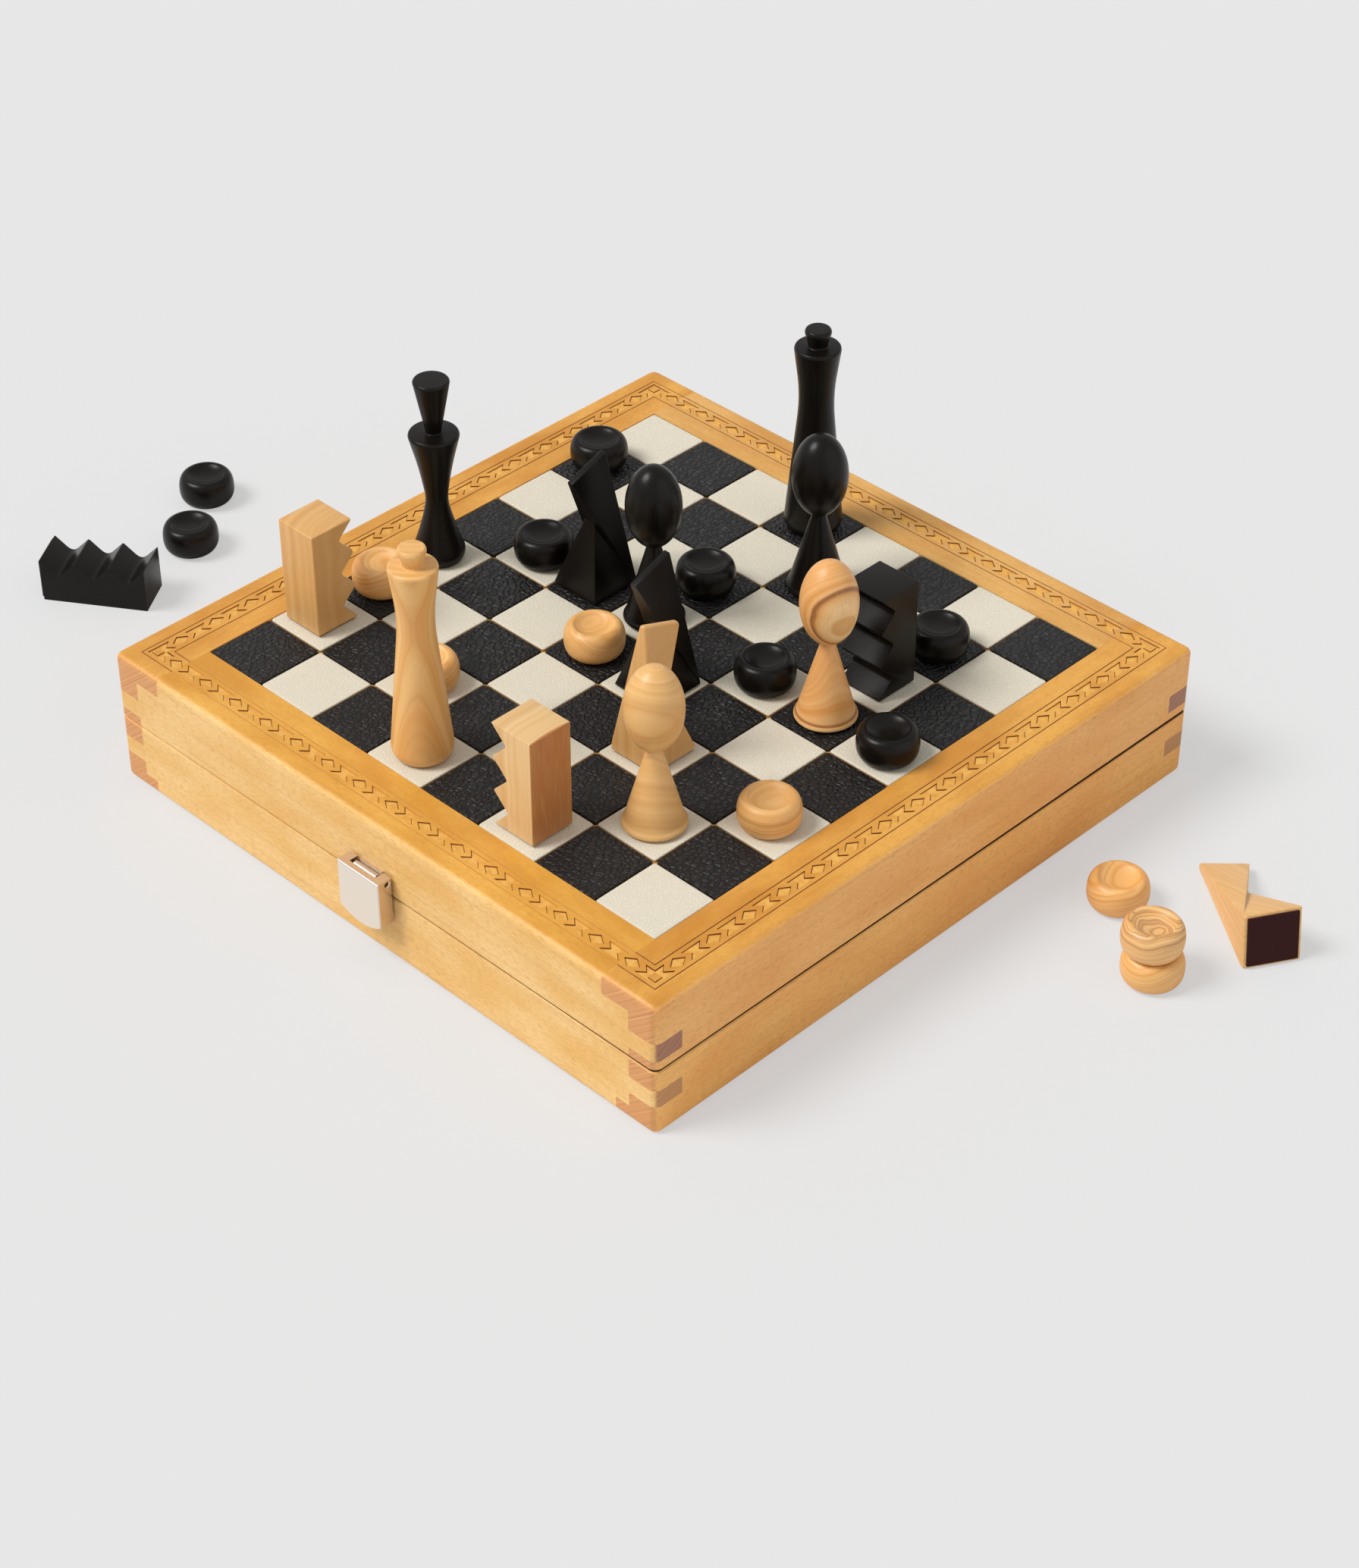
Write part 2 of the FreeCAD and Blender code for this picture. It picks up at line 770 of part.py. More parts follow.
def build():
    """Every node of the set, by name."""
    lid_tongue = (seam + lid_tongue_rise, seam + lid_tongue_rise + lid_tongue_height)
    case_tongue = (seam - case_tongue_drop - case_tongue_height, seam - case_tongue_drop)
    lid, board_panel = tray(
        "lid", (seam, ceiling), (ceiling, top), board_edge, lid_tongue, (ceiling, board_top)
    )
    case, floor_panel = tray(
        "case", (floor_flange, seam), (0, floor_flange), floor_edge, case_tongue, (0, floor_flange)
    )
    nodes = {**case, **lid, "board_panel": board_panel, "floor_panel": floor_panel}
    places = (-hinge_spacing / 2, hinge_spacing / 2)
    for name, side in (("lid", 1), ("case", -1)):
        driven = screws(side)
        recesses = [leaf_plate(x, side) for x in places]
        leaves = [hinge_leaf(x, side).cut(driven) for x in places]
        nodes[f"{name}_back_wall"] = nodes[f"{name}_back_wall"].cut(recesses + driven)
        nodes[f"{name}_front_wall"] = nodes[f"{name}_front_wall"].cut(driven)
        nodes[f"hinge_{name}_leaves"] = Part.makeCompound(leaves)
        nodes[f"{name}_screws"] = Part.makeCompound(driven)
    nodes["hinge_pins"] = Part.makeCompound([hinge_pin(x) for x in places])
    nodes["dark_squares"] = tiles(True)
    nodes["light_squares"] = tiles(False)
    nodes["case_dark_points"] = points(True, floor_flange)
    nodes["case_light_points"] = points(False, floor_flange)
    nodes["lid_dark_points"] = points(False, ceiling - point_height)
    nodes["lid_light_points"] = points(True, ceiling - point_height)
    reach = Vector(latch_width / 2 - latch_pin_recess, 0, 0)
    latch = {
        "latch_plate": latch_plate(),
        "latch_pin": rod(latch_axis - reach, latch_axis + reach, latch_pin_radius),
        "latch_flap": latch_flap(),
        "latch_keeper": latch_keeper(),
    }
    for name, shape in latch.items():
        shape.translate(Vector(latch_shift, 0, 0))
        nodes[name] = shape
    nodes["latch_plate"] = nodes["latch_plate"].cut(screws(1))
    nodes["latch_keeper"] = nodes["latch_keeper"].cut(screws(-1))
    forms = {
        "disc": disc(),
        "king": king(),
        "queen": queen(),
        "bishop": bishop(),
        "rook": rook(),
        "knight": knight(),
    }
    nodes.update(figures(forms))
    nodes.update(stored(forms))
    return nodes


os.makedirs("parts", exist_ok=True)
for node, shape in build().items():
    shape.exportStep(f"parts/{node}.step")
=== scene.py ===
import math

import bmesh
import bpy
import numpy as np
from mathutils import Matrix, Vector


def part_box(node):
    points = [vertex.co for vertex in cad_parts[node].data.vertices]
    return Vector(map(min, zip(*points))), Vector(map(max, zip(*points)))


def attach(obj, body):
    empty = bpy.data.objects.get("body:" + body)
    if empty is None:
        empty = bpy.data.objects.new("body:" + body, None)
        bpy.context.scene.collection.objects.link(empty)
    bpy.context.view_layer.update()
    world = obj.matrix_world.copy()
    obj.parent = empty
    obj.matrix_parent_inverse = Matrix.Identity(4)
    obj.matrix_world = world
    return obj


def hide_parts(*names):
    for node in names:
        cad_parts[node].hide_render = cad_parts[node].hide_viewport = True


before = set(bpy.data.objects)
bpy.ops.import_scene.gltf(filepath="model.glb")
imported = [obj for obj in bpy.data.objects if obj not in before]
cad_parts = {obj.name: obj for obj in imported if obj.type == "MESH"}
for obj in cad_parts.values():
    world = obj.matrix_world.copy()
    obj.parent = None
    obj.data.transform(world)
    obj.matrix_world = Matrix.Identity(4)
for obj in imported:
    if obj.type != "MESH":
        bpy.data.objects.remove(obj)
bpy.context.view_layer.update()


# Lower tray: two full-length rails and two walls between them, L-sections of solid beech that are
# tongued through each other at the corners, so end grain shows beside long grain on every face.
# The wood is stained to honey and finished with a satin lacquer.
mm = 0.001


def linear(colour):
    """An sRGB hex colour as linear RGBA: the dark end divided by 12.92, the rest raised to 2.4."""
    part = np.array([int(colour[i:i + 2], 16) for i in (1, 3, 5)]) / 255
    rgb = np.where(part <= 0.04045, part / 12.92, ((part + 0.055) / 1.055) ** 2.4)
    return (*rgb.tolist(), 1.0)


def feed(node, inputs):
    """Gives a node its inputs: an output, or the first in use of a node, is linked; a value is set.

    A string is an sRGB hex colour.
    """
    for key, value in inputs.items():
        if isinstance(value, bpy.types.Node):
            value = next(output for output in value.outputs if output.enabled)
        if isinstance(value, bpy.types.NodeSocket):
            node.id_data.links.new(value, node.inputs[key])
        else:
            node.inputs[key].default_value = linear(value) if isinstance(value, str) else value


def add(tree, kind, inputs=None, **settings):
    """Adds one node with its settings and its inputs."""
    made = tree.nodes.new("ShaderNode" + kind)
    for name, value in settings.items():
        setattr(made, name, value)
    feed(made, inputs or {})
    return made


def blank(name):
    """A new material with its node tree and its shader."""
    made = bpy.data.materials.new(name)
    made.use_nodes = True
    return made, made.node_tree, made.node_tree.nodes["Principled BSDF"]


def drawn_noise(tree, place, marks, detail):
    """Noise drawn out to marks of those lengths in mm along x, y and z."""
    drawn = add(tree, "Mapping", {"Vector": place, "Scale": [1 / (mark * mm) for mark in marks]})
    return add(tree, "TexNoise", {"Vector": drawn, "Scale": 1.0, "Detail": detail})


def polished(shader, colour, grain, gloss, strength, depth, specular=0.5):
    """Gives a shader its colour, and a roughness and a relief, in mm, that rise with one noise."""
    tree = shader.id_data
    rough = add(tree, "MapRange", {"Value": grain, "To Min": gloss[0], "To Max": gloss[1]})
    pores = add(tree, "Bump", {"Height": grain, "Strength": strength, "Distance": depth * mm})
    feed(shader, {
        "Base Color": colour, "Roughness": rough, "Normal": pores, "Specular IOR Level": specular,
    })


def honey_beech(name, along, side_tones, top_tones, end_tones):
    """Stained, lacquered beech with its grain along one axis, 0 for x and 1 for y.

    Clouds of deeper stain, long faint streaks and short dark flecks, all noise drawn out along the
    grain; faces that look up take the top tones and the others the side tones, which paints light and
    shade by facing, and a face whose normal looks along the grain turns to end grain, redder and
    finely ringed. Each pair of tones is pale, then deep.
    """
    board, tree, shader = blank(name)
    place = add(tree, "TexCoord")

    def grain(length, width, detail):
        """Noise with marks of that length along the grain and width across it, in mm."""
        marks = [width, width, width]
        marks[along] = length
        return drawn_noise(tree, place.outputs["Object"], marks, detail)

    facing = add(tree, "SeparateXYZ", {0: place.outputs["Normal"]})
    painted_up_share = add(
        tree, "MapRange",
        {"Value": facing.outputs[2], "From Min": 0.6, "From Max": 0.98},
        interpolation_type="SMOOTHSTEP",
    )
    # Painted light and shade: faces that look up take the top tones, the others the side tones
    pale, deep = (
        add(tree, "Mix", {0: painted_up_share, 6: side, 7: top}, data_type="RGBA")
        for side, top in zip(side_tones, top_tones)
    )
    cloud = add(tree, "MapRange", {"Value": grain(34, 12, 3.0), "From Min": 0.36, "From Max": 0.66})
    side_wood = add(tree, "Mix", {0: cloud, 6: pale, 7: deep}, data_type="RGBA")
    # Beech rays are about 0.3 mm wide; they are drawn at 0.5 mm, because finer ones do not show
    ray = grain(2.6, 0.5, 1.0)
    for mark, low, high, most, tone in (
        (grain(60, 1.8, 2.0), 0.5, 0.78, 0.3, "#c48a3c"), (ray, 0.46, 0.76, 0.42, "#bd7c38"),
    ):
        share = add(
            tree, "MapRange", {"Value": mark, "From Min": low, "From Max": high, "To Max": most}
        )
        side_wood = add(tree, "Mix", {0: share, 6: side_wood, 7: tone}, data_type="RGBA")
    # On an end the growth rings lie aslant
    ring_step = 0.8 * mm
    tilt = [-0.64 / ring_step, -0.64 / ring_step, 0.77 / ring_step]
    tilt[along] = 0.0
    level = add(tree, "VectorMath", {0: place.outputs["Object"], 1: tilt}, operation="DOT_PRODUCT")
    ring = add(tree, "TexNoise", {"W": level, "Scale": 1.0, "Detail": 1.0}, noise_dimensions="1D")
    end_wood = add(tree, "Mix", {0: ring, 6: end_tones[0], 7: end_tones[1]}, data_type="RGBA")
    end_on = add(tree, "Math", {0: facing.outputs[along]}, operation="ABSOLUTE")
    end = add(tree, "MapRange", {"Value": end_on, "From Min": 0.6, "From Max": 0.85})
    colour = add(tree, "Mix", {0: end, 6: side_wood, 7: end_wood}, data_type="RGBA")
    polished(shader, colour, ray, (0.4, 0.55), 0.25, 0.05, 0.4)
    return board


def dress(node, finish):
    """Gives a solid of the frame its finish."""
    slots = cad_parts[node].data.materials
    slots.clear()
    slots.append(finish)


def new_mesh(name, points, faces, finishes, indices=None, crisp=35, weld=0.0):
    """A mesh of points and faces, smooth but for edges sharper than an angle in degrees.

    Points nearer to each other than the weld are merged.
    """
    made = bpy.data.meshes.new(name)
    made.from_pydata(points, [], faces)
    for finish in finishes:
        made.materials.append(finish)
    if indices is not None:
        made.polygons.foreach_set("material_index", indices)
    shell = bmesh.new()
    shell.from_mesh(made)
    if weld:
        bmesh.ops.remove_doubles(shell, verts=shell.verts, dist=weld)
    bmesh.ops.recalc_face_normals(shell, faces=shell.faces)
    shell.to_mesh(made)
    shell.free()
    made.polygons.foreach_set("use_smooth", np.ones(len(made.polygons), bool))
    made.set_sharp_from_angle(angle=math.radians(crisp))
    return made


def in_scene(name, data):
    """A new object of that data, linked to the scene."""
    made = bpy.data.objects.new(name, data)
    bpy.context.scene.collection.objects.link(made)
    return made


def shown(mesh, body, slot, *stood_for):
    """Shows a mesh as a piece that rides on a body and stands for nodes of the frame."""
    piece = in_scene(mesh.name, mesh)
    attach(piece, body)
    if stood_for:
        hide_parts(*stood_for)


def settled(mesh, kind, **settings):
    """The mesh after one modifier, with the modifier's result made final."""
    carrier = in_scene("carrier", mesh)
    worker = carrier.modifiers.new("work", kind)
    for name, value in settings.items():
        setattr(worker, name, value)
    graph = bpy.context.evaluated_depsgraph_get()
    result = bpy.data.meshes.new_from_object(carrier.evaluated_get(graph))
    bpy.data.objects.remove(carrier)
    return result


def square_rings(reach, section):
    """Points and faces of a section, across and up in mm, carried round a mitred square path.

    The section is (4 corners, points, 2), so that it may change from corner to corner.
    """
    size = section.shape[1]
    mitre = np.array([(1, 1), (-1, 1), (-1, -1), (1, -1)])
    path = mitre[:, None, :] * (reach + section[..., :1])
    points = np.concatenate([path, section[..., 1:]], axis=2).reshape(-1, 3)
    ring, side = np.meshgrid(np.arange(4), np.arange(size), indexing="ij")
    ring_on, side_on = (ring + 1) % 4, (side + 1) % size
    quads = np.stack(
        [ring * size + side, ring_on * size + side, ring_on * size + side_on, ring * size + side_on],
        axis=2,
    )
    return points * mm, quads.reshape(-1, 4).tolist()


def points_of(mesh):
    """The points of a mesh as rows."""
    points = np.zeros(len(mesh.vertices) * 3)
    mesh.vertices.foreach_get("co", points)
    return points.reshape(-1, 3)


def cut_copy(name, node, finish, tool_mesh):
    """A welded copy of a node's mesh, less a tool whose finishes stay on the cut."""
    tool = in_scene("tool", tool_mesh)
    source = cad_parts[node].data
    faces = [tuple(face.vertices) for face in source.polygons]
    whole = new_mesh("whole", points_of(source), faces, [finish], weld=0.001 * mm)
    carved = settled(
        whole, "BOOLEAN", object=tool, operation="DIFFERENCE", solver="EXACT",
        material_mode="TRANSFER",
    )
    bpy.data.objects.remove(tool)
    carved.set_sharp_from_angle(angle=math.radians(30))
    carved.name = name
    return carved


def mottled(
    name, tones, patch, rough, spread=(0.0, 1.0), detail=2.0, distortion=0.0, nap=0.0, more=None
):
    """A finish in two tones: from the first to the second as noise rises over the spread.

    The noise has patches of that size in mm and may raise a nap by a height in mm, and more holds
    other inputs of the shader.
    """
    made, tree, shader = blank(name)
    place = add(tree, "TexCoord").outputs["Object"]
    patchy = add(
        tree, "TexNoise",
        {"Vector": place, "Scale": 1 / (patch * mm), "Detail": detail, "Distortion": distortion},
    )
    share = add(tree, "MapRange", {"Value": patchy, "From Min": spread[0], "From Max": spread[1]})
    tone = add(tree, "Mix", {0: share, 6: tones[0], 7: tones[1]}, data_type="RGBA")
    feed(shader, {"Base Color": tone, "Roughness": rough, **(more or {})})
    if nap:
        raised = add(tree, "Bump", {"Height": patchy, "Strength": 0.7, "Distance": nap * mm})
        feed(shader, {"Normal": raised})
    return made


# A painted shade: the faces inside the seam are painted a dark brown, which stands in for the shadow
# there
painted_seam_shade = mottled("painted_seam_shade_beech", ("#43260e", "#66401a"), 6, 0.8)


# The rim's outer edge is eased by a small rebate whose cut faces take the painted seam shade, so that
# the seam shows as a dark line
half_width, seam = 135.0, 27.0
# It is deeper at the right: the back right, back left, front left and near corners
rebate_deep = np.array([0.5, 0.2, 0.12, 0.3])
rebate_wide, overrun, overlap = 1.5, 1.0, 0.1
rebate = np.zeros((4, 4, 2))
rebate[:, :, 0] = (-rebate_wide, overrun, overrun, -rebate_wide)
rebate[:, :2, 1] = seam - rebate_deep[:, None]
rebate[:, 2:, 1] = seam + overlap
# The tray's rim, where it faces up, is painted darker than its sides: a painted shade for the shadow in
# the seam
rim_shade_tones, rail_ends = ("#d29a48", "#bb7f30"), ("#e6a96c", "#b87843")
case_across = honey_beech(
    "honey_beech_tray_walls", 0, ("#efc682", "#e6b566"), rim_shade_tones, ("#cf9a64", "#a8713f")
)
case_deep = honey_beech(
    "honey_beech_tray_rails", 1, ("#f5b968", "#eeaa5a"), rim_shade_tones, rail_ends
)
for node, beech in (
    ("case_front_wall", case_across), ("case_back_wall", case_across),
    ("case_left_wall", case_deep), ("case_right_wall", case_deep),
):
    tool = new_mesh("rebate", *square_rings(half_width, rebate), [painted_seam_shade])
    shown(cut_copy("eased_" + node, node, beech, tool), "case", "honey_wood", node)


# Floor and board panels: thin plywood faced with pale tan veneer, held by a tongue in the walls.
# The board panel shows only as tan lines between the leather squares.
panel_veneer, tree, shader = blank("tan_veneer")
place = add(tree, "TexCoord").outputs["Object"]
streak = drawn_noise(tree, place, (40, 1.2, 1.2), 3.0)
tone = add(tree, "Mix", {0: streak, 6: "#d9a858", 7: "#b98540"}, data_type="RGBA")
rise = add(tree, "Bump", {"Height": streak, "Strength": 0.2, "Distance": 0.04 * mm})
feed(shader, {"Base Color": tone, "Normal": rise, "Roughness": 0.55})
dress("floor_panel", panel_veneer)
dress("board_panel", panel_veneer)


# Backgammon points: long triangles of dyed calf leather, glued to the floor and under the lid.
# The dark leather is pebbled with a soft sheen, the cream one is finer and flatter.
def calf_leather(name, ground, crease, cell, depth, shine, wear):
    """Embossed leather: round cells of a warped cell pattern, with a crease between neighbours.

    The height is the distance to the nearest cell border, cut off at about a quarter of a cell,
    and a slow noise wears the ground towards the tone of the creases by at most the wear.
    """
    hide, tree, shader = blank(name)
    place = add(tree, "TexCoord").outputs["Object"]
    warp = add(tree, "TexNoise", {"Vector": place, "Scale": 1 / (4 * cell * mm), "Detail": 2.0})
    shift = add(
        tree, "VectorMath", {0: warp.outputs[1], 1: [1.6 * cell * mm] * 3}, operation="MULTIPLY"
    )
    moved = add(tree, "VectorMath", {0: place, 1: shift}, operation="ADD")
    cells = add(
        tree, "TexVoronoi", {"Vector": moved, "Scale": 1 / (cell * mm)}, feature="DISTANCE_TO_EDGE"
    )
    pebble = add(tree, "MapRange", {"Value": cells, "From Max": 0.24}, interpolation_type="SMOOTHSTEP")
    soft = add(tree, "TexNoise", {"Vector": place, "Scale": 1 / (9 * mm), "Detail": 3.0})
    worn = add(
        tree, "MapRange", {"Value": soft, "From Min": 0.35, "From Max": 0.65, "To Min": 1 - wear}
    )
    share = add(tree, "Math", {0: pebble, 1: worn}, operation="MULTIPLY")
    # The creases are painted darker than the cells: partly the leather's own deeper colour there,
    # partly painted shade in the valleys
    tone = add(tree, "Mix", {0: share, 6: crease, 7: ground}, data_type="RGBA")
    gloss = add(tree, "MapRange", {"Value": share, "To Min": shine + 0.18, "To Max": shine})
    emboss = add(tree, "Bump", {"Height": pebble, "Strength": 0.8, "Distance": depth * mm})
    feed(shader, {
        "Base Color": tone, "Roughness": gloss, "Normal": emboss, "Specular IOR Level": 0.4,
    })
    return hide


black_calf = calf_leather("black_calf", "#1d1816", "#030202", 2.2, 0.58, 0.42, 0.3)
cream_calf = calf_leather("cream_calf", "#ded7c4", "#d6cdb9", 1.1, 0.07, 0.55, 0.1)
for half in ("case", "lid"):
    dress(half + "_dark_points", black_calf)
    dress(half + "_light_points", cream_calf)


# Lid: the same joinery turned over, with a wide flange all round. Its top is hot-stamped between
# two fine lines with sunk diamonds and hourglasses in turn, and a square left standing in each
# corner. The stamp scorches the walls of each figure and leaves its floor pale.

# The scorch is a dull brown, deeper in patches; a pressed floor is wiped paler than the stain
scorched = mottled("scorched_beech", ("#6f3a12", "#97591f"), 5, 0.6, (0.35, 0.65))
pressed = mottled("pressed_beech", ("#d8993e", "#e6ae55"), 2.2, 0.55, (0.36, 0.64), 3.0)
faint = mottled("faintly_scorched_beech", ("#bd8032", "#cf9640"), 8, 0.6)

# On the lid the sides are painted paler than the top, a painted sheen, and the top of the back wall is
# painted paler than the front's, a painted reflection
lid_sides, lid_ends = ("#efc682", "#e5b264"), ("#bd8766", "#7d4e3a")
lid_across = honey_beech("honey_beech_lid_front", 0, lid_sides, ("#e5ab4b", "#d09030"), lid_ends)
lid_back = honey_beech("honey_beech_lid_back_sheen", 0, lid_sides, ("#e0ac60", "#cb9146"), lid_ends)
lid_deep = honey_beech(
    "honey_beech_lid_rails", 1, ("#f2b66c", "#eaa75b"), ("#e2a64c", "#ca8830"), rail_ends
)


def loft(rings):
    """Faces of one or more lofts: quads between each ring and the next, and a face at both ends.

    Rings are (lofts, rings, points, 3), each ring closed on itself.
    """
    count, rows, size, _ = rings.shape
    start = np.arange(count)[:, None, None] * rows * size
    row = np.arange(rows - 1)[None, :, None] * size
    here = np.arange(size)[None, None, :]
    after = (here + 1) % size
    lower = start + row
    quads = np.stack(
        [lower + here, lower + after, lower + size + after, lower + size + here], axis=3
    ).reshape(-1, 4)
    first = (start[:, 0] + here[0, :, ::-1]).tolist()
    last = (start[:, 0] + (rows - 1) * size + here[0]).tolist()
    return rings.reshape(-1, 3), quads.tolist() + first + last


def prisms(outlines, low, high, draft):
    """Straight prisms: each outline, a ring of points, at two heights, the lower one drawn in.

    Outlines are (count, corners, 2). The two ends of each prism come after all the sides.
    """
    middle = outlines.mean(axis=1, keepdims=True)
    rings = np.stack([middle + (outlines - middle) * s for s in (1 - draft, 1 + draft)], axis=1)
    heights = np.broadcast_to(np.array([low, high])[None, :, None, None], (*rings.shape[:3], 1))
    return loft(np.concatenate([rings, heights], axis=3))


def joined(parts):
    """Points and faces of several parts as those of one, counted on from part to part."""
    points, faces = [], []
    for part_points, part_faces in parts:
        shift = sum(len(p) for p in points)
        points.append(part_points)
        faces += [[i + shift for i in face] for face in part_faces]
    return np.concatenate(points), faces


def quarter_turns(outlines):
    """The same outlines on all four sides of the lid."""
    turns = [np.array([[c, -s], [s, c]]) for c, s in ((1, 0), (0, 1), (-1, 0), (0, -1))]
    return np.concatenate([outlines @ turn.T for turn in turns])


lid_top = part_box("lid_front_wall")[1].z
band, figure_pitch, figures_per_side, sunk = 123.75, 16.23, 15, 0.5 * mm
along = (np.arange(figures_per_side) - (figures_per_side - 1) / 2) * figure_pitch
diamond = np.array([(-3.55, 0), (0, -2.5), (3.55, 0), (0, 2.5)])
hourglass = np.array([(4.5, -2.4), (1.7, 0), (4.5, 2.4), (-4.5, 2.4), (-1.7, 0), (-4.5, -2.4)])
corner = np.array(
    [(126.3, -126.3), (126.2, -117.0), (123.75, -119.9), (121.35, -117.3),
     (121.4, -121.4), (117.3, -121.35), (119.9, -123.75), (117.0, -126.2)]
)
island = np.array([(122.1, -125.3), (125.3, -125.3), (125.3, -122.1), (122.1, -122.1)])
diamonds, hourglasses = (
    figure + np.c_[places, np.full_like(places, -band)][:, None]
    for figure, places in ((diamond, along), (hourglass, (along[1:] + along[:-1]) / 2))
)


def drawn_in(outlines, widths):
    """Outlines with each side moved inwards by its own width.

    A corner between sides with inward normals m and n and widths a and b moves by
    ((a - bc) m + (b - ac) n) / (1 - c^2), where c is m.n.
    """
    way = np.roll(outlines, -1, axis=1) - outlines
    after = np.stack([-way[..., 1], way[..., 0]], axis=2) / np.linalg.norm(way, axis=2, keepdims=True)
    before = np.roll(after, 1, axis=1)
    b = np.array(widths)[None, :, None]
    a = np.roll(b, 1, axis=1)
    c = (before * after).sum(axis=2, keepdims=True)
    return outlines + ((a - b * c) * before + (b - a * c) * after) / (1 - c ** 2)


# Faces of the stamp: 0 burns, 1 takes the painted seam shade, 2 only draws a line. The stamp's edge
# bites a little deeper than its face, which leaves a burnt groove round each floor.
groove_width, line_width, floor_sunk = 0.24, 0.04, 0.4 * mm
wall_draft, island_draft, bedded = 0.05, -0.02, 1.1 * sunk
stamp, stamp_index, floors, floor_index = [], [], [], []
for figure, wall_index in (
    (diamonds, [0, 0, 0, 0]), (hourglasses, [0, 0, 2, 0, 0, 2]), (corner[None], [0] * 8),
):
    outlines = quarter_turns(figure)
    count = len(outlines)
    stamp.append(prisms(outlines * mm, lid_top - sunk, lid_top + sunk, wall_draft))
    stamp_index += wall_index * count + [0, 0] * count
    inner = drawn_in(outlines, [line_width if index else groove_width for index in wall_index])
    floors.append(prisms(inner * mm, lid_top - bedded, lid_top - floor_sunk, 0.0))
    floor_index += [0] * len(wall_index) * count + [1, 1] * count


# Two fine lines with a three-cornered section, and the seam, where the lid has warped a little and
# stands off the tray by a hair at the left and by a good millimetre along the right
line_half, line_deep = 0.4, 0.3
line_section = np.array([(-line_half, line_deep), (0.0, -line_deep), (line_half, line_deep)])
line_section = np.broadcast_to(line_section + np.array([0, lid_top / mm]), (4, 3, 2))
stand_off = np.array([1.0, 0.6, 0.08, 0.85])
gap_wide, edge_step = 9.0, 0.1
gap_section = np.zeros((4, 6, 2))
gap_section[:, :, 0] = (-gap_wide, overrun, overrun, -rebate_wide, -rebate_wide, -gap_wide)
gap_section[:, :2, 1] = seam - overlap
gap_section[:, 2:4, 1] = seam + stand_off[:, None] + edge_step
gap_section[:, 4:, 1] = seam + stand_off[:, None]
# Its outer edge takes the painted seam shade, 1, and the rest keeps the wall's own finish, 3
inner_line, outer_line = 119.6, 127.8
for reach, section, side_index in (
    (inner_line, line_section, [2, 2, 2]), (outer_line, line_section, [2, 2, 2]),
    (half_width, gap_section, [1, 1, 1, 1, 3, 3]),
):
    stamp.append(square_rings(reach, section))
    stamp_index += side_index * 4


# The lines burn brown on three sides, and less on the front wall
for node, beech, line in (
    ("lid_front_wall", lid_across, faint), ("lid_back_wall", lid_back, scorched),
    ("lid_left_wall", lid_deep, scorched), ("lid_right_wall", lid_deep, scorched),
):
    tool = new_mesh("stamp", *joined(stamp), [scorched, painted_seam_shade, line, beech], np.array(stamp_index))
    shown(cut_copy("stamped_" + node, node, beech, tool), "lid", "honey_wood", node)
mesh = new_mesh("pressed_floors", *joined(floors), [scorched, pressed], np.array(floor_index))
shown(mesh, "lid", "honey_wood")
islands = quarter_turns(island[None])
mesh = new_mesh(
    "corner_squares", *prisms(islands * mm, lid_top - bedded, lid_top, island_draft),
    [scorched, lid_deep], np.array([0] * len(island) * len(islands) + [1, 1] * len(islands)),
)
shown(mesh, "lid", "honey_wood")


# Leather squares: the same calf leathers cut into 27 mm squares with skived, slightly rounded
# edges, glued to the board panel flush with the frame and a hair apart.
def softened(points, cuts, steps):
    """An open outline with each inner corner rounded: a corner C with neighbours gives the curve
    (1-t)^2 A + 2t(1-t) C + t^2 B, where A and B lie on its two sides, one cut away from it."""
    points = np.asarray(points, float)
    middle, before, after = points[1:-1], points[:-2], points[2:]
    cuts = np.asarray(cuts, float)[:, None]
    back = (before - middle) / np.linalg.norm(before - middle, axis=1, keepdims=True)
    on = (after - middle) / np.linalg.norm(after - middle, axis=1, keepdims=True)
    t = np.linspace(0, 1, steps)[None, :, None]
    curve = (
        (1 - t) ** 2 * (middle + back * cuts)[:, None]
        + 2 * t * (1 - t) * middle[:, None]
        + t ** 2 * (middle + on * cuts)[:, None]
    )
    return np.concatenate([points[:1], curve.reshape(-1, 2), points[-1:]])


def rounded_square(half, cut, steps):
    """A closed square ring with its four corners rounded by a cut."""
    corners = np.array([(-1, 0), (-1, -1), (1, -1), (1, 1), (-1, 1), (-1, 0)]) * half
    return softened(corners, [cut] * 4, steps)[1:]


def square_stack(levels, steps):
    """Rounded squares one above the other, each with its half width, corner cut and height."""
    return np.stack(
        [np.c_[rounded_square(half, cut, steps), np.full(4 * steps + 1, z)] for half, cut, z in levels]
    )


# The cut edge of the leather is undyed, which draws a tan line round each cream square
raw_edge = mottled("raw_leather_edge", ("#c8923f", "#8f6226"), 0.8, 0.85, detail=3.0)
square, tile_gap, tile_corner, skive_wide, skive_cut = 27.75, 0.7, 0.9, 2.0, 0.55
tile_half = (square - tile_gap) / 2
tile_low, tile_high = (corner_point.z / mm for corner_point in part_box("dark_squares"))
skive = softened([(0, tile_low), (0, tile_high), (-skive_wide, tile_high)], [skive_cut], 5)
tile_rings = square_stack([(tile_half + inset, tile_corner, z) for inset, z in skive], 5)
squares_per_side = 8
column, row = np.indices((squares_per_side, squares_per_side))
off_middle = np.stack([column, row], axis=2) - (squares_per_side - 1) / 2
centres = np.concatenate([off_middle, np.zeros((*column.shape, 1))], axis=2) * square
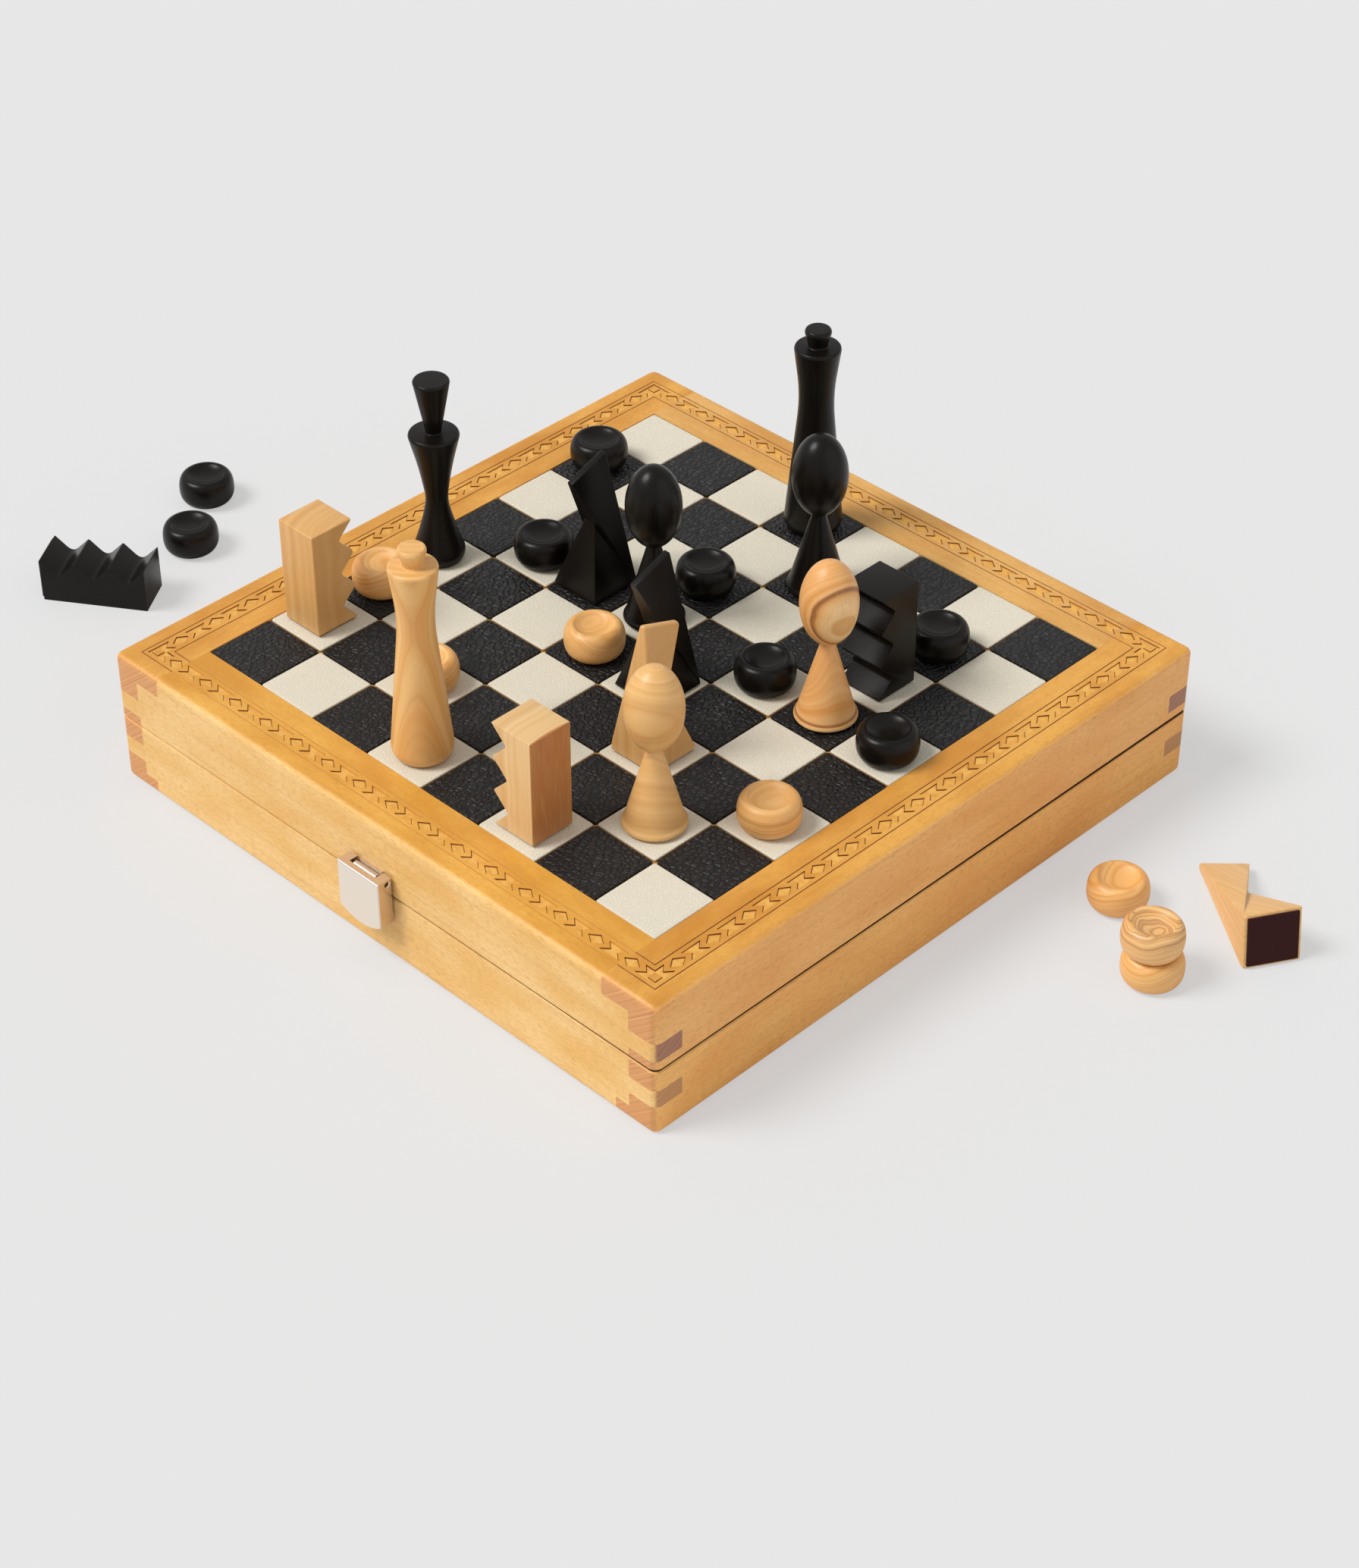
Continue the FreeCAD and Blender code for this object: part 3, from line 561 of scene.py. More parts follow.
for colour, leather, slot_name, parity in (
    ("dark", black_calf, "black_leather", 0), ("light", cream_calf, "cream_leather", 1),
):
    chosen = centres[(column + row) % 2 == parity]
    tiles = loft((tile_rings[None] + chosen[:, None, None]) * mm)
    side_index = np.zeros((len(chosen), len(tile_rings) - 1, tile_rings.shape[1]), int)
    # Only the cream squares show the raw edge, 1; the black ones are dyed through, 0
    side_index[:, 0] = parity
    indices = np.concatenate([side_index.ravel(), np.zeros(2 * len(chosen), int)])
    mesh = new_mesh(colour + "_leather_squares", *tiles, [leather, raw_edge], indices, crisp=50)
    shown(mesh, "lid", slot_name, colour + "_squares")


# Hinges: two butt hinges of nickel-plated steel let into the seam at the back, each with its pin.
# The plating is brushed to satin.
def satin_nickel(name, front, edge, front_light_tone, edge_shade_tone):
    """Nickel plate: brushed where a face looks to the front, buffed and shinier elsewhere; its tone is
    painted by facing, paler to the front and darker elsewhere, as painted light and shade.
    """
    plate, tree, shader = blank(name)
    place = add(tree, "TexCoord")
    scratch = drawn_noise(tree, place.outputs["Object"], (14, 14, 0.25), 2.0)
    facing = add(tree, "SeparateXYZ", {0: place.outputs["Normal"]})
    ahead = add(tree, "MapRange", {"Value": facing.outputs[1], "From Min": -0.97, "From Max": -0.8})
    blast, buffed = (
        add(tree, "MapRange", {"Value": scratch, "To Min": middle - spread, "To Max": middle + spread})
        for middle, spread in ((front, 0.05), (edge, 0.04))
    )
    gloss = add(tree, "Mix", {0: ahead, 2: blast, 3: buffed})
    # Painted light and shade: the faces that look to the front take the paler tone, the others the
    # darker one
    tone = add(tree, "Mix", {0: ahead, 6: front_light_tone, 7: edge_shade_tone}, data_type="RGBA")
    score = add(tree, "Bump", {"Height": scratch, "Strength": 0.15, "Distance": 0.02 * mm})
    feed(shader, {"Base Color": tone, "Roughness": gloss, "Normal": score, "Metallic": 1.0})
    return plate


nickel = satin_nickel("satin_nickel", 0.38, 0.2, "#ece6dc", "#d8d0c6")
for node in ("hinge_case_leaves", "hinge_lid_leaves", "hinge_pins"):
    dress(node, nickel)


# Screws: small countersunk wood screws, nickel plated, with a straight slot.
# They hold the hinge leaves, the latch plate and the keeper.
def turned(profile, segments):
    """A turned form: each profile point, radius and height, carried round the z axis."""
    angle = np.linspace(0, 2 * np.pi, segments, endpoint=False)
    radius, height = np.asarray(profile).T[:, :, None]
    form = np.broadcast_arrays(radius * np.cos(angle), radius * np.sin(angle), height)
    return np.stack(form, axis=2)


def aimed(way):
    """The matrix that turns straight down to a way."""
    return np.array(Vector((0, 0, -1)).rotation_difference(Vector(way)).to_matrix())


head_radius, head_depth, shank_radius, screw_length = 1.5, 0.8, 0.7, 6.0
slot_depth, slot_half, point_radius, point_length = 0.35, 0.2, 0.15, 1.0
slot_radius = head_radius - (head_radius - shank_radius) / head_depth * slot_depth
lower = turned(
    [(slot_radius, -slot_depth), (shank_radius, -head_depth),
     (shank_radius, point_length - screw_length), (point_radius, -screw_length)], 32,
)
cap = turned([(head_radius, 0.0), (slot_radius, -slot_depth)], 32)
halves = [
    np.stack([cap[..., 0], side * np.maximum(side * cap[..., 1], slot_half), cap[..., 2]], axis=2)
    for side in (1, -1)
]
latch_x, latch_y, hinge_x, leaf_x, leaf_y = 1.7, -136.2, 75, 11, 130.5
plate_x, plate_z, keeper_x, keeper_z = 3, 30.7, 5, 21.0
leaf_places = [(x + dx, leaf_y, seam) for x in (-hinge_x, hinge_x) for dx in (-leaf_x, leaf_x)]
plate_places = [(latch_x + dx, latch_y, plate_z) for dx in (-plate_x, plate_x)]
keeper_places = [(latch_x + dx, latch_y, keeper_z) for dx in (-keeper_x, keeper_x)]
for body, places, up in (("lid", plate_places, 1), ("case", keeper_places, -1)):
    ways = [(0, 0, up)] * len(leaf_places) + [(0, 1, 0)] * len(places)
    screws = [
        loft(((rings @ aimed(way).T + np.array(head)) * mm)[None])
        for head, way in zip(leaf_places + places, ways)
        for rings in (lower, *halves)
    ]
    mesh = new_mesh(body + "_wood_screws", *joined(screws), [nickel], crisp=30)
    shown(mesh, body, "nickel", body + "_screws")


# Latch: a cast flap that swings on a pin in the lid's plate and closes over the keeper below the
# seam. It is nickel plated, blasted to a soft satin on its bare front and buffed at the edges.
# The pin is steel, oiled black, and its ends sit in small countersinks.
latch_nickel = satin_nickel("blasted_nickel", 0.42, 0.26, "#ece5db", "#dacdc6")
pin_steel = satin_nickel("blackened_steel", 0.4, 0.3, "#5c5048", "#4a403a")
for node in ("latch_plate", "latch_keeper"):
    dress(node, latch_nickel)
dress("latch_pin", pin_steel)
flap_low, flap_high = (np.array(c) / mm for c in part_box("latch_flap"))
pin_at = sum(np.array(c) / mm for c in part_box("latch_pin")) / 2
sink_mouth, sink_foot, sink_rise, sink_deep = 1.65, 0.75, 0.4, 0.5
sink = turned([(sink_mouth, sink_rise), (sink_foot, -sink_deep)], 32)
sinks = [
    loft(((sink @ aimed((way, 0, 0)).T + np.array([x, *pin_at[1:]])) * mm)[None])
    for x, way in ((flap_low[0], 1), (flap_high[0], -1))
]
tool = new_mesh("sinks", *joined(sinks), [latch_nickel])
flap = cut_copy("countersunk_latch_flap", "latch_flap", latch_nickel, tool)
shown(flap, "latch", "nickel", "latch_flap")


# Felt: a dark plum pad glued under each figure, a little smaller than its base.
# Its loose fibres scatter the light, so it looks dull from every side.
# Only the lying knight shows it well.
felt = mottled(
    "plum_felt", ("#220d10", "#45201f"), 0.7, 0.95, detail=4.0, distortion=1.5, nap=0.2,
    more={"Specular IOR Level": 0.1, "Sheen Weight": 0.05},
)


# Discs: pawns and backgammon men, turned from olive wood, oiled, or from beech dyed black.
# Each is bun-shaped with a thumb dish on top, and the growth rings lie almost level in it.
def olive_timber(name, pale, warm, vein, ring, wander, vein_gap, vein_share, heart=None):
    """Oiled timber seen in its own log: the distance from the pith, wandering, sets the tone.

    The attribute timber holds each point's place in the log, with the pith along z. One-way noise
    of the distance gives uneven rings, and the level where a slower one crosses its mean a vein.
    Heart is the radius, tone and share of the heartwood, which ends in a vein of its own.
    """
    wood, tree, shader = blank(name)
    log = add(tree, "Attribute", attribute_name="timber").outputs["Vector"]
    drift = add(tree, "TexNoise", {"Vector": log, "Scale": 1 / (17 * mm), "Detail": 2.0})
    swing = add(tree, "MapRange", {"Value": drift, "To Min": -wander * mm, "To Max": wander * mm})
    flat = add(tree, "VectorMath", {0: log, 1: (1, 1, 0)}, operation="MULTIPLY")
    pith = add(tree, "VectorMath", {0: flat}, operation="LENGTH")
    age = add(tree, "Math", {0: pith, 1: swing}, operation="ADD")
    rings, slow = (
        add(
            tree, "TexNoise", {"W": age, "Scale": 1 / (step * mm), "Detail": detail},
            noise_dimensions="1D",
        )
        for step, detail in ((ring, 2.0), (vein_gap, 1.0))
    )
    season = add(tree, "MapRange", {"Value": rings, "From Min": 0.3, "From Max": 0.72})
    body = add(tree, "Mix", {0: season, 6: pale, 7: warm}, data_type="RGBA")

    def lined(under, value, level, inner, outer, share):
        """A tone under a line of the vein's tone, which lies where a value passes a level."""
        apart = add(tree, "Math", {0: value, 1: level}, operation="SUBTRACT")
        near = add(tree, "Math", {0: apart}, operation="ABSOLUTE")
        line = add(
            tree, "MapRange",
            {"Value": near, "From Min": inner, "From Max": outer, "To Min": share, "To Max": 0.0},
        )
        return add(tree, "Mix", {0: line, 6: under, 7: vein}, data_type="RGBA")

    veined = lined(body, slow, 0.5, 0.0, 0.045, vein_share)
    if heart:
        radius, heart_tone, heart_share = heart
        outer, inner = (radius + 0.1) * mm, (radius - 0.1) * mm
        inside = add(
            tree, "MapRange",
            {"Value": pith, "From Min": outer, "From Max": inner, "To Max": heart_share},
        )
        deeper = add(tree, "Mix", {0: inside, 6: veined, 7: heart_tone}, data_type="RGBA")
        veined = lined(deeper, pith, radius * mm, 0.12 * mm, 0.4 * mm, 0.85)
    fibre = drawn_noise(tree, log, (0.7, 0.7, 11), 2.0)
    thread = add(tree, "MapRange", {"Value": fibre, "From Min": 0.5, "From Max": 0.8, "To Max": 0.35})
    colour = add(tree, "Mix", {0: thread, 6: veined, 7: warm}, data_type="RGBA")
    polished(shader, colour, fibre, (0.36, 0.5), 0.2, 0.04)
    return wood


def black_dyed(name):
    """Black-dyed timber, waxed: a dark even tone with long pores, pulled out along the log."""
    wood, tree, shader = blank(name)
    log = add(tree, "Attribute", attribute_name="timber").outputs["Vector"]
    pore = drawn_noise(tree, log, (0.6, 0.6, 7), 2.0)
    tone = add(tree, "Mix", {0: pore, 6: "#090705", 7: "#15100c"}, data_type="RGBA")
    polished(shader, tone, pore, (0.24, 0.4), 0.3, 0.05, 0.19)
    return wood


# Olive is warm and streaked, boxwood paler and plainer, and a heart or a vein shows only where the
# piece was cut through it. The dyed wood is a soft black that shines along its edges.
olive = olive_timber("oiled_olive", "#efbd79", "#dc9e55", "#b9793a", 1.3, 1.2, 5.8, 0.25)
veined = olive_timber("veined_olive", "#efc286", "#dfa864", "#8a4c20", 1.6, 2.2, 1.9, 0.62)
hearted = olive_timber(
    "hearted_olive", "#f4cd92", "#d99e58", "#84451a", 0.8, 0.3, 7.0, 0.1, (12.0, "#de9448", 0.55)
)
arched = olive_timber("arched_boxwood", "#e8b874", "#dfa65e", "#b98046", 1.5, 0.5, 2.8, 0.24)
boxwood = olive_timber("oiled_boxwood", "#e7ba7b", "#dea965", "#cb9450", 2.4, 1.5, 10.8, 0.2)
ringed_boxwood = olive_timber("ringed_boxwood", "#e6b878", "#dda863", "#b97d40", 1.1, 0.4, 3.4, 0.3)
rich_boxwood = olive_timber("rich_boxwood", "#dcad6e", "#d49e5a", "#c18a46", 2.4, 1.5, 10.8, 0.2)
# This boxwood turns dark within a radius of its pith, and the second light rook turns that side to its
# right face, away from the key: partly the wood's own heart, partly painted shade
dark_sided = olive_timber(
    "dark_sided_boxwood", "#e2bd88", "#dab075", "#b97d42", 2.4, 1.5, 10.8, 0.2, (51.75, "#aa5c1a", 0.8)
)
ebonised = black_dyed("ebonised_wood")


def turn_about(axis, degrees):
    """The matrix that turns points about one axis."""
    c, s = math.cos(math.radians(degrees)), math.sin(math.radians(degrees))
    i, j = [(1, 2), (2, 0), (0, 1)][axis]
    matrix = np.eye(3)
    matrix[[i, i, j, j], [i, j, i, j]] = c, -s, s, c
    return matrix


def in_log(mesh, lean, twist, pith, bend=((0, 0, 0, 1),)):
    """Writes the attribute timber: each point turned by a lean and a twist, then moved off the pith.

    The bend gives heights along the log, and how far the pith has wandered and the rings are drawn
    out there; between those heights both change evenly.
    """
    turn = turn_about(0, lean) @ turn_about(2, twist)
    grown = points_of(mesh) @ turn.T + np.array(pith) * mm
    heights, *shifts = np.array(bend, float).T
    x_off, y_off, drawn_out = (np.interp(grown[:, 2] / mm, heights, s)[:, None] for s in shifts)
    grown[:, :2] = (grown[:, :2] - np.hstack([x_off, y_off]) * mm) * drawn_out
    mesh.attributes.new("timber", "FLOAT_VECTOR", "POINT").data.foreach_set("vector", grown.ravel())


def seat(mesh, matrix, node):
    """Turns a mesh and moves it so that its box stands where the node's box stands."""
    points = points_of(mesh) @ matrix.T
    low, high = points.min(axis=0), points.max(axis=0)
    to_low, to_high = (np.array(c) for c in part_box(node))
    move = (to_low + to_high) / 2 - (low + high) / 2
    move[2] = to_low[2] - low[2]
    mesh.vertices.foreach_set("co", (points + move).ravel())
    mesh.update()


def placed(mesh, node, log, matrix=np.eye(3)):
    """Lays a piece in its log by lean, twist, pith and bend, turns it, seats and shows it."""
    in_log(mesh, *log)
    seat(mesh, matrix, node)
    shown(mesh, node, node.split("_")[0] + "_wood", node)


disc_radius, disc_high, foot_radius, bowl_radius, bowl_deep = 10.99, 12.0, 6.6, 7.5, 2.1
below, above = np.radians(np.linspace(-90, 0, 13)), np.radians(np.linspace(0, 90, 13))[1:]
inward = np.linspace(1, 0.005, 15)
# The side bulges, r = b + (R - b) cos^n a and z = h/2 (1 + sin^n a); the bowl deepens by r cubed
bulge = 0.84
disc_profile = np.concatenate(
    [
        np.stack(
            [rim + (disc_radius - rim) * np.cos(arc) ** bulge,
             disc_high / 2 * (1 + np.sign(arc) * np.abs(np.sin(arc)) ** bulge)], axis=1,
        )
        for rim, arc in ((foot_radius, below), (bowl_radius, above))
    ]
    + [np.stack([bowl_radius * inward, disc_high - bowl_deep * (1 - inward ** 3)], axis=1)[1:]]
)
disc_rings = turned(disc_profile, 64)[None] * mm
# The seventh light disc tops the stack, and dark veins loop over its dish
draws = np.random.default_rng(7)
for number in range(1, 9):
    node = f"black_disc_{number}"
    mesh = new_mesh(node + "_turned", *loft(disc_rings), [ebonised], crisp=60)
    placed(mesh, node, (80, draws.uniform(0, 360), (0, 30, 0)))
for number in range(1, 8):
    node = f"light_disc_{number}"
    pith = (draws.uniform(-8, 8), draws.uniform(-30, -12), draws.uniform(0, 80))
    timber = veined if number == 7 else olive
    mesh = new_mesh(node + "_turned", *loft(disc_rings), [timber], crisp=60)
    placed(mesh, node, (84, draws.uniform(0, 360), pith))


# Stored men: the other discs of both colours, turned from the same woods, and the eighth light
# pawn. They are laid out on the points inside the tray.
first_man, man_step, point_step = 111.6, 22.4, 41.0
tray_floor, on_points, men_y, pawn_y = 6.0, 6.6, 2.5 * point_step, 2.6 * square


def laid_row(side, end, count):
    """A row of men from one end of a side of the tray towards its middle."""
    return [(end * (first_man - man_step * i), side * men_y, on_points) for i in range(count)]


light_men = laid_row(1, -1, 5) + laid_row(-1, 1, 2) + [(0.0, pawn_y, tray_floor)]
dark_men = laid_row(1, 1, 5) + laid_row(-1, -1, 2)
for colour, men, finish, slot_name in (
    ("light", light_men, olive, "light_wood"), ("dark", dark_men, ebonised, "black_wood"),
):
    places = np.array(men)[:, None, None] * mm
    mesh = new_mesh(f"stored_{colour}_men", *loft(disc_rings + places), [finish], crisp=60)
    in_log(mesh, 84, 20, (0, -25, 0))
    node = f"stored_{colour}_discs"
    shown(mesh, node, slot_name, node)


# Kings: the tallest figures, turned along the grain, with a long waisted body, a flat shoulder
# and a small flared knob. The light one shows arches of grain on its face.
def turned_figure(profile, sole):
    """Body and felt pad of a turned figure, each as points and faces; the sole is the pad's radius."""
    pad = turned([(sole, 0.0), (sole, felt_high)], 64)
    return loft(turned(profile, 96)[None] * mm), loft(pad[None] * mm)


def with_felt(name, body, pad, finish, crisp=30):
    """A mesh of a figure's body and of the felt pad below it, in their own finishes."""
    indices = np.array([0] * len(body[1]) + [1] * len(pad[1]))
    return new_mesh(name, *joined([body, pad]), [finish, felt], indices, crisp)


felt_high = 0.7
king_profile = softened(
    [(9.4, felt_high), (11.0, 3.0), (6.0, 56.3), (8.6, 75.9), (8.2, 76.9), (3.7, 77.2),
     (3.7, 78.2), (5.0, 82.9), (4.4, 84.0), (0.1, 84.0)],
    [2.2, 9.0, 0.5, 0.5, 0.5, 0.5, 0.7, 0.5], 9,
)
king = turned_figure(king_profile, 8.6)
for colour, finish, pith in (("black", ebonised, (0, 20, 0)), ("light", arched, (9.8, -10, 0))):
    node = colour + "_king"
    placed(with_felt(node + "_turned", *king, finish), node, (0, 0, pith))


# Queens: two slim cones foot to foot with a sharp rim, and a third that flares to a flat crown.
# The black one stands on the board, the light one lies in the tray.
queen_profile = softened(
    [(8.6, felt_high), (10.0, 3.4), (6.1, 15.0), (3.8, 25.6), (6.1, 39.5), (9.4, 52.6), (8.9, 53.6),
     (3.0, 54.0), (3.0, 55.0), (6.75, 74.7), (6.2, 75.4), (0.1, 75.4)],
    [2.4, 6.0, 4.0, 6.0, 0.4, 0.4, 0.4, 0.4, 0.4, 0.3], 9,
)
queen = turned_figure(queen_profile, 7.8)
for colour, finish, laid in (("black", ebonised, 0), ("light", boxwood, -90)):
    node = colour + "_queen"
    mesh = with_felt(node + "_turned", *queen, finish)
    placed(mesh, node, (3, 40, (10, 12, 0)), turn_about(0, laid))


# Bishops: an egg on a plain cone with a small lip at its foot, turned from one piece.
# The pith runs close to the axis, so rings circle the cone and a vein loops over the egg.
egg_radius, egg_half, egg_neck, egg_low = 10.2, 16.4, 2.4, 31.75
egg_middle = egg_low + egg_half * math.sqrt(1 - (egg_neck / egg_radius) ** 2)
swell = np.linspace(-math.acos(egg_neck / egg_radius), math.pi / 2 - 0.008, 33)
egg = np.stack([egg_radius * np.cos(swell), egg_middle + egg_half * np.sin(swell)], axis=1)
cone = softened(
    [(10.3, felt_high), (11.25, 1.2), (11.1, 2.2), (10.3, 3.2), (egg_neck, egg_low)], [0.4, 0.4, 0.5], 5
)
bishop = turned_figure(np.concatenate([cone, egg[1:]]), 9.5)
# How far the first light bishop's pith lies off its axis, at heights from the foot to the crown
pith_way = np.array([-0.968, 0.249])
pith_off = ((0, 0), (24, 0.3), (33, 6.0), (40, 4.6), (48, 3.3), (56, 3.6), (62, 4.2))
looped = [(z, *(pith_way * off), 1.143 if z < 30 else 1.0) for z, off in pith_off]
for node, finish, log in (
    ("black_bishop_1", ebonised, (0, 0, (0, 15, 0))),
    ("black_bishop_2", ebonised, (0, 50, (0, 15, 0))),
    ("light_bishop_1", hearted, (0, 0, (0, 0, 0), looped)),
    ("light_bishop_2", ringed_boxwood, (0, 0, (0.5, -0.9, 30))),
):
    placed(with_felt(node + "_turned", *bishop, finish), node, log)


# Rooks: square blocks sawn with three deep teeth down one side, then sanded.
# One light rook is worn rounder than the others.
rook_half, rook_top, rook_teeth = 9.0, 42.5, 3


def rook_rings(edge, root, land):
    """The sawn outline carried across the block, drawn in evenly at both sides.

    Over each rounded side edge it moves across by edge (1 - cos a) and in by edge (1 - sin a).
    """
    pitch = (rook_top - felt_high) / rook_teeth
    leg = (pitch - land) / 2
    low = felt_high + land / 2 + np.arange(rook_teeth) * pitch
    tooth = np.array([(0, 0), (leg, leg), (0, 2 * leg)])
    teeth = np.c_[np.full(rook_teeth, -rook_half), low][:, None] + tooth
    corners = np.concatenate(
        [[(-rook_half, felt_high)], teeth.reshape(-1, 2),
         [(-rook_half, rook_top), (rook_half, rook_top), (rook_half, felt_high)]]
    )
    tip, foot = 0.2 * land, 0.02
    cuts = np.array([foot] + [tip, root, tip] * rook_teeth + [foot, edge, edge])
    cuts[[1, -4]] = foot
    angle = np.linspace(0, math.pi / 2, 5)
    near_side = -rook_half + edge * (1 - np.cos(angle))
    across = np.concatenate([near_side, -near_side[::-1]])
    drawn = edge * np.concatenate([1 - np.sin(angle), 1 - np.sin(angle[::-1])])
    rings = []
    for x, depth in zip(across, drawn):
        # The outline runs clockwise, so inwards is minus
        moved = drawn_in(corners[None], [-depth] * len(corners))[0]
        closed = np.concatenate([moved[-1:] + (moved[:1] - moved[-1:]) / 2, moved])
        closed = np.concatenate([closed, closed[:1]])
        outline = softened(closed, cuts, 5)[1:]
        rings.append(np.c_[np.full(len(outline), x), outline])
    return np.stack(rings)


def square_pad(sole, corner_cut=0.3):
    """Felt pad of a square figure, as points and faces; the sole is half the pad's width."""
    return loft(square_stack([(sole, corner_cut, z) for z in (0.0, felt_high)], 3)[None] * mm)


rook_pad = square_pad(8.2)
for node, finish, edge, root, land, laid, spin, pith in (
    ("black_rook_1", ebonised, 0.18, 1.8, 0.6, 0, 0, (0, 20, 0)),
    ("black_rook_2", ebonised, 0.18, 3.2, 0.6, -90, -56.5, (0, 20, 0)),
    ("light_rook_1", rich_boxwood, 0.5, 2.0, 1.6, 0, 180, (26, 8, 0)),
    # The second light rook's dark side faces right, where the shade falls: partly heartwood, partly
    # painted shade
    ("light_rook_2", dark_sided, 0.18, 1.5, 0.6, 0, -90, (0, -60, 0)),
):
    block = loft(rook_rings(edge, root, land)[None] * mm)
    mesh = with_felt(node + "_sawn", block, rook_pad, finish)
    placed(mesh, node, (0, 0, pith), turn_about(2, spin) @ turn_about(0, laid))


# Knights: a leaning wedge-shaped blade whose chin rests on a small pyramid, sawn from one block.
# The light ones are sanded rounder than the black ones.
knight_half, ridge_half, chin_half, chin_level = 10.7, 1.3, 2.3, 28.5
nose_y, nose_z, crest_y, crest_z = -11.7, 48.2, 4.9, 54.2
nose, heel = np.array([nose_y, nose_z]), np.array([knight_half, felt_high])
chin_share = (chin_level - felt_high) / (nose_z - felt_high)
chin_y, chin_z = heel + (nose - heel) * chin_share
knight_points = np.array(
    [(-ridge_half, nose_y, nose_z), (ridge_half, nose_y, nose_z),
     (ridge_half, crest_y, crest_z), (-ridge_half, crest_y, crest_z),
     (-knight_half, knight_half, felt_high), (knight_half, knight_half, felt_high),
     (-knight_half, -knight_half, felt_high), (knight_half, -knight_half, felt_high),
     (-chin_half, chin_y, chin_z), (chin_half, chin_y, chin_z)]
)
knight_faces = [
    (0, 1, 2, 3), (3, 2, 5, 4), (1, 5, 2), (0, 3, 4), (1, 0, 8, 9), (5, 1, 9), (4, 8, 0),
    (6, 7, 9, 8), (7, 5, 9), (6, 8, 4), (6, 4, 5, 7),
]
knight_pad = square_pad(9.3)
lying = 90 + math.degrees(math.atan((knight_half - ridge_half) / (crest_z - felt_high)))
for node, finish, edge, laid, spin, pith in (
    ("black_knight_1", ebonised, 0.35, 0, 0, (0, 20, 0)),
    ("black_knight_2", ebonised, 0.35, 0, 0, (0, 20, 0)),
    ("light_knight_1", rich_boxwood, 1.1, 0, 180, (24, 10, 0)),
    ("light_knight_2", boxwood, 0.9, lying, 149.4, (20, -14, 0)),
):
    blade = settled(
        new_mesh("blade", knight_points * mm, knight_faces, [finish]), "BEVEL", width=edge * mm,
        segments=3, limit_method="ANGLE", angle_limit=math.radians(12),
    )
    body = points_of(blade), [list(face.vertices) for face in blade.polygons]
    mesh = with_felt(node + "_sawn", body, knight_pad, finish, 20)
    placed(mesh, node, (6, 0, pith), turn_about(2, spin) @ turn_about(1, laid))


# Dice: two small cast-resin cubes with rounded edges and painted pips, which lie in the tray.
# The resin is smooth, faintly clouded and lets a little light in; the paint is a dull black.
ivory = mottled(
    "ivory_resin", ("#efe8d6", "#e2d8c0"), 3, 0.25, distortion=1.0,
    more={"Subsurface Weight": 0.1, "Subsurface Radius": (0.002, 0.0015, 0.001)},
)
pip_paint = mottled("pip_paint", ("#161414", "#2a2726"), 0.4, 0.4)
die, die_round, end_inset, corner_share = 9.0, 0.8, 1.2, 0.3
pip_radius, pip_high, pip_step = 0.75, 0.06, 2.3
edge_curve = softened([(-end_inset, 0), (0, 0), (0, die), (-end_inset, die)], [die_round, die_round], 5)
die_rings = square_stack(
    [(die / 2 + inset, die_round + min(inset, 0) * corner_share, z) for inset, z in edge_curve], 5
)
pip_ring = turned([(pip_radius, 0.0), (pip_radius, -pip_high)], 32)
centre, two = [(0, 0)], [(-1, -1), (1, 1)]
four = two + [(-1, 1), (1, -1)]
pip_spots = {
    1: centre, 2: two, 3: two + centre, 4: four, 5: four + centre, 6: four + [(-1, 0), (1, 0)],
}
face_turns = {
    1: np.eye(3), 6: turn_about(0, 180), 2: turn_about(0, 90), 5: turn_about(0, -90),
    3: turn_about(1, 90), 4: turn_about(1, -90),
}
parts, indices = [], []
for (x, y, spin), tumble in (((-0.3, 1.2, 20), np.eye(3)), ((0.4, 1.7, 35), turn_about(0, 90))):
    stand = turn_about(2, spin)
    corner_at = np.array([x * square, y * square, tray_floor])
    middle = stand @ np.array([die / 2, die / 2, 0]) + corner_at + np.array([0, 0, die / 2])
    cube = (die_rings - np.array([0, 0, die / 2])) @ stand.T + middle
    pips = []
    for value, spots in pip_spots.items():
        at = np.array([(pip_step * u, pip_step * v, (die + pip_high) / 2) for u, v in spots])
        on_face = stand @ tumble @ face_turns[value]
        pips.append((pip_ring[None] + at[:, None, None]) @ on_face.T + middle)
    for rings, index in ((cube[None], 0), (np.concatenate(pips), 1)):
        parts.append(loft(rings * mm))
        indices += [index] * len(parts[-1][1])
mesh = new_mesh("pipped_dice", *joined(parts), [ivory, pip_paint], np.array(indices), 40)
shown(mesh, "dice", "dice_plastic", "dice")


# Studio: a plain pale floor, one broad soft key from the left of the camera, a weak side light from
# its right and an even fill. The camera stands at the photograph's angle.
# The paper is dead matt, and seen directly it is evened out to one pale grey.
paper, tree, shader = blank("pale_paper")
feed(shader, {"Base Color": "#e2e2e2", "Roughness": 1.0, "Specular IOR Level": 0.0})
light_path = add(tree, "LightPath")
evened = 0.62
even_share = add(
    tree, "Math", {0: light_path.outputs["Is Camera Ray"], 1: evened}, operation="MULTIPLY"
)
even = add(tree, "Emission", {"Color": "#e1e1e1", "Strength": 1.0})
floor_mix = add(tree, "MixShader", {0: even_share, 1: shader, 2: even})
feed(tree.nodes["Material Output"], {"Surface": floor_mix})
floor_half, floor_drop = 6.0, 0.05 * mm
floor_mesh = bpy.data.meshes.new("floor")
floor_mesh.from_pydata(
    [(x * floor_half, y * floor_half, -floor_drop) for x, y in ((-1, -1), (1, -1), (1, 1), (-1, 1))],
    [], [(0, 1, 2, 3)],
)
floor_mesh.materials.append(paper)
floor = in_scene("floor", floor_mesh)

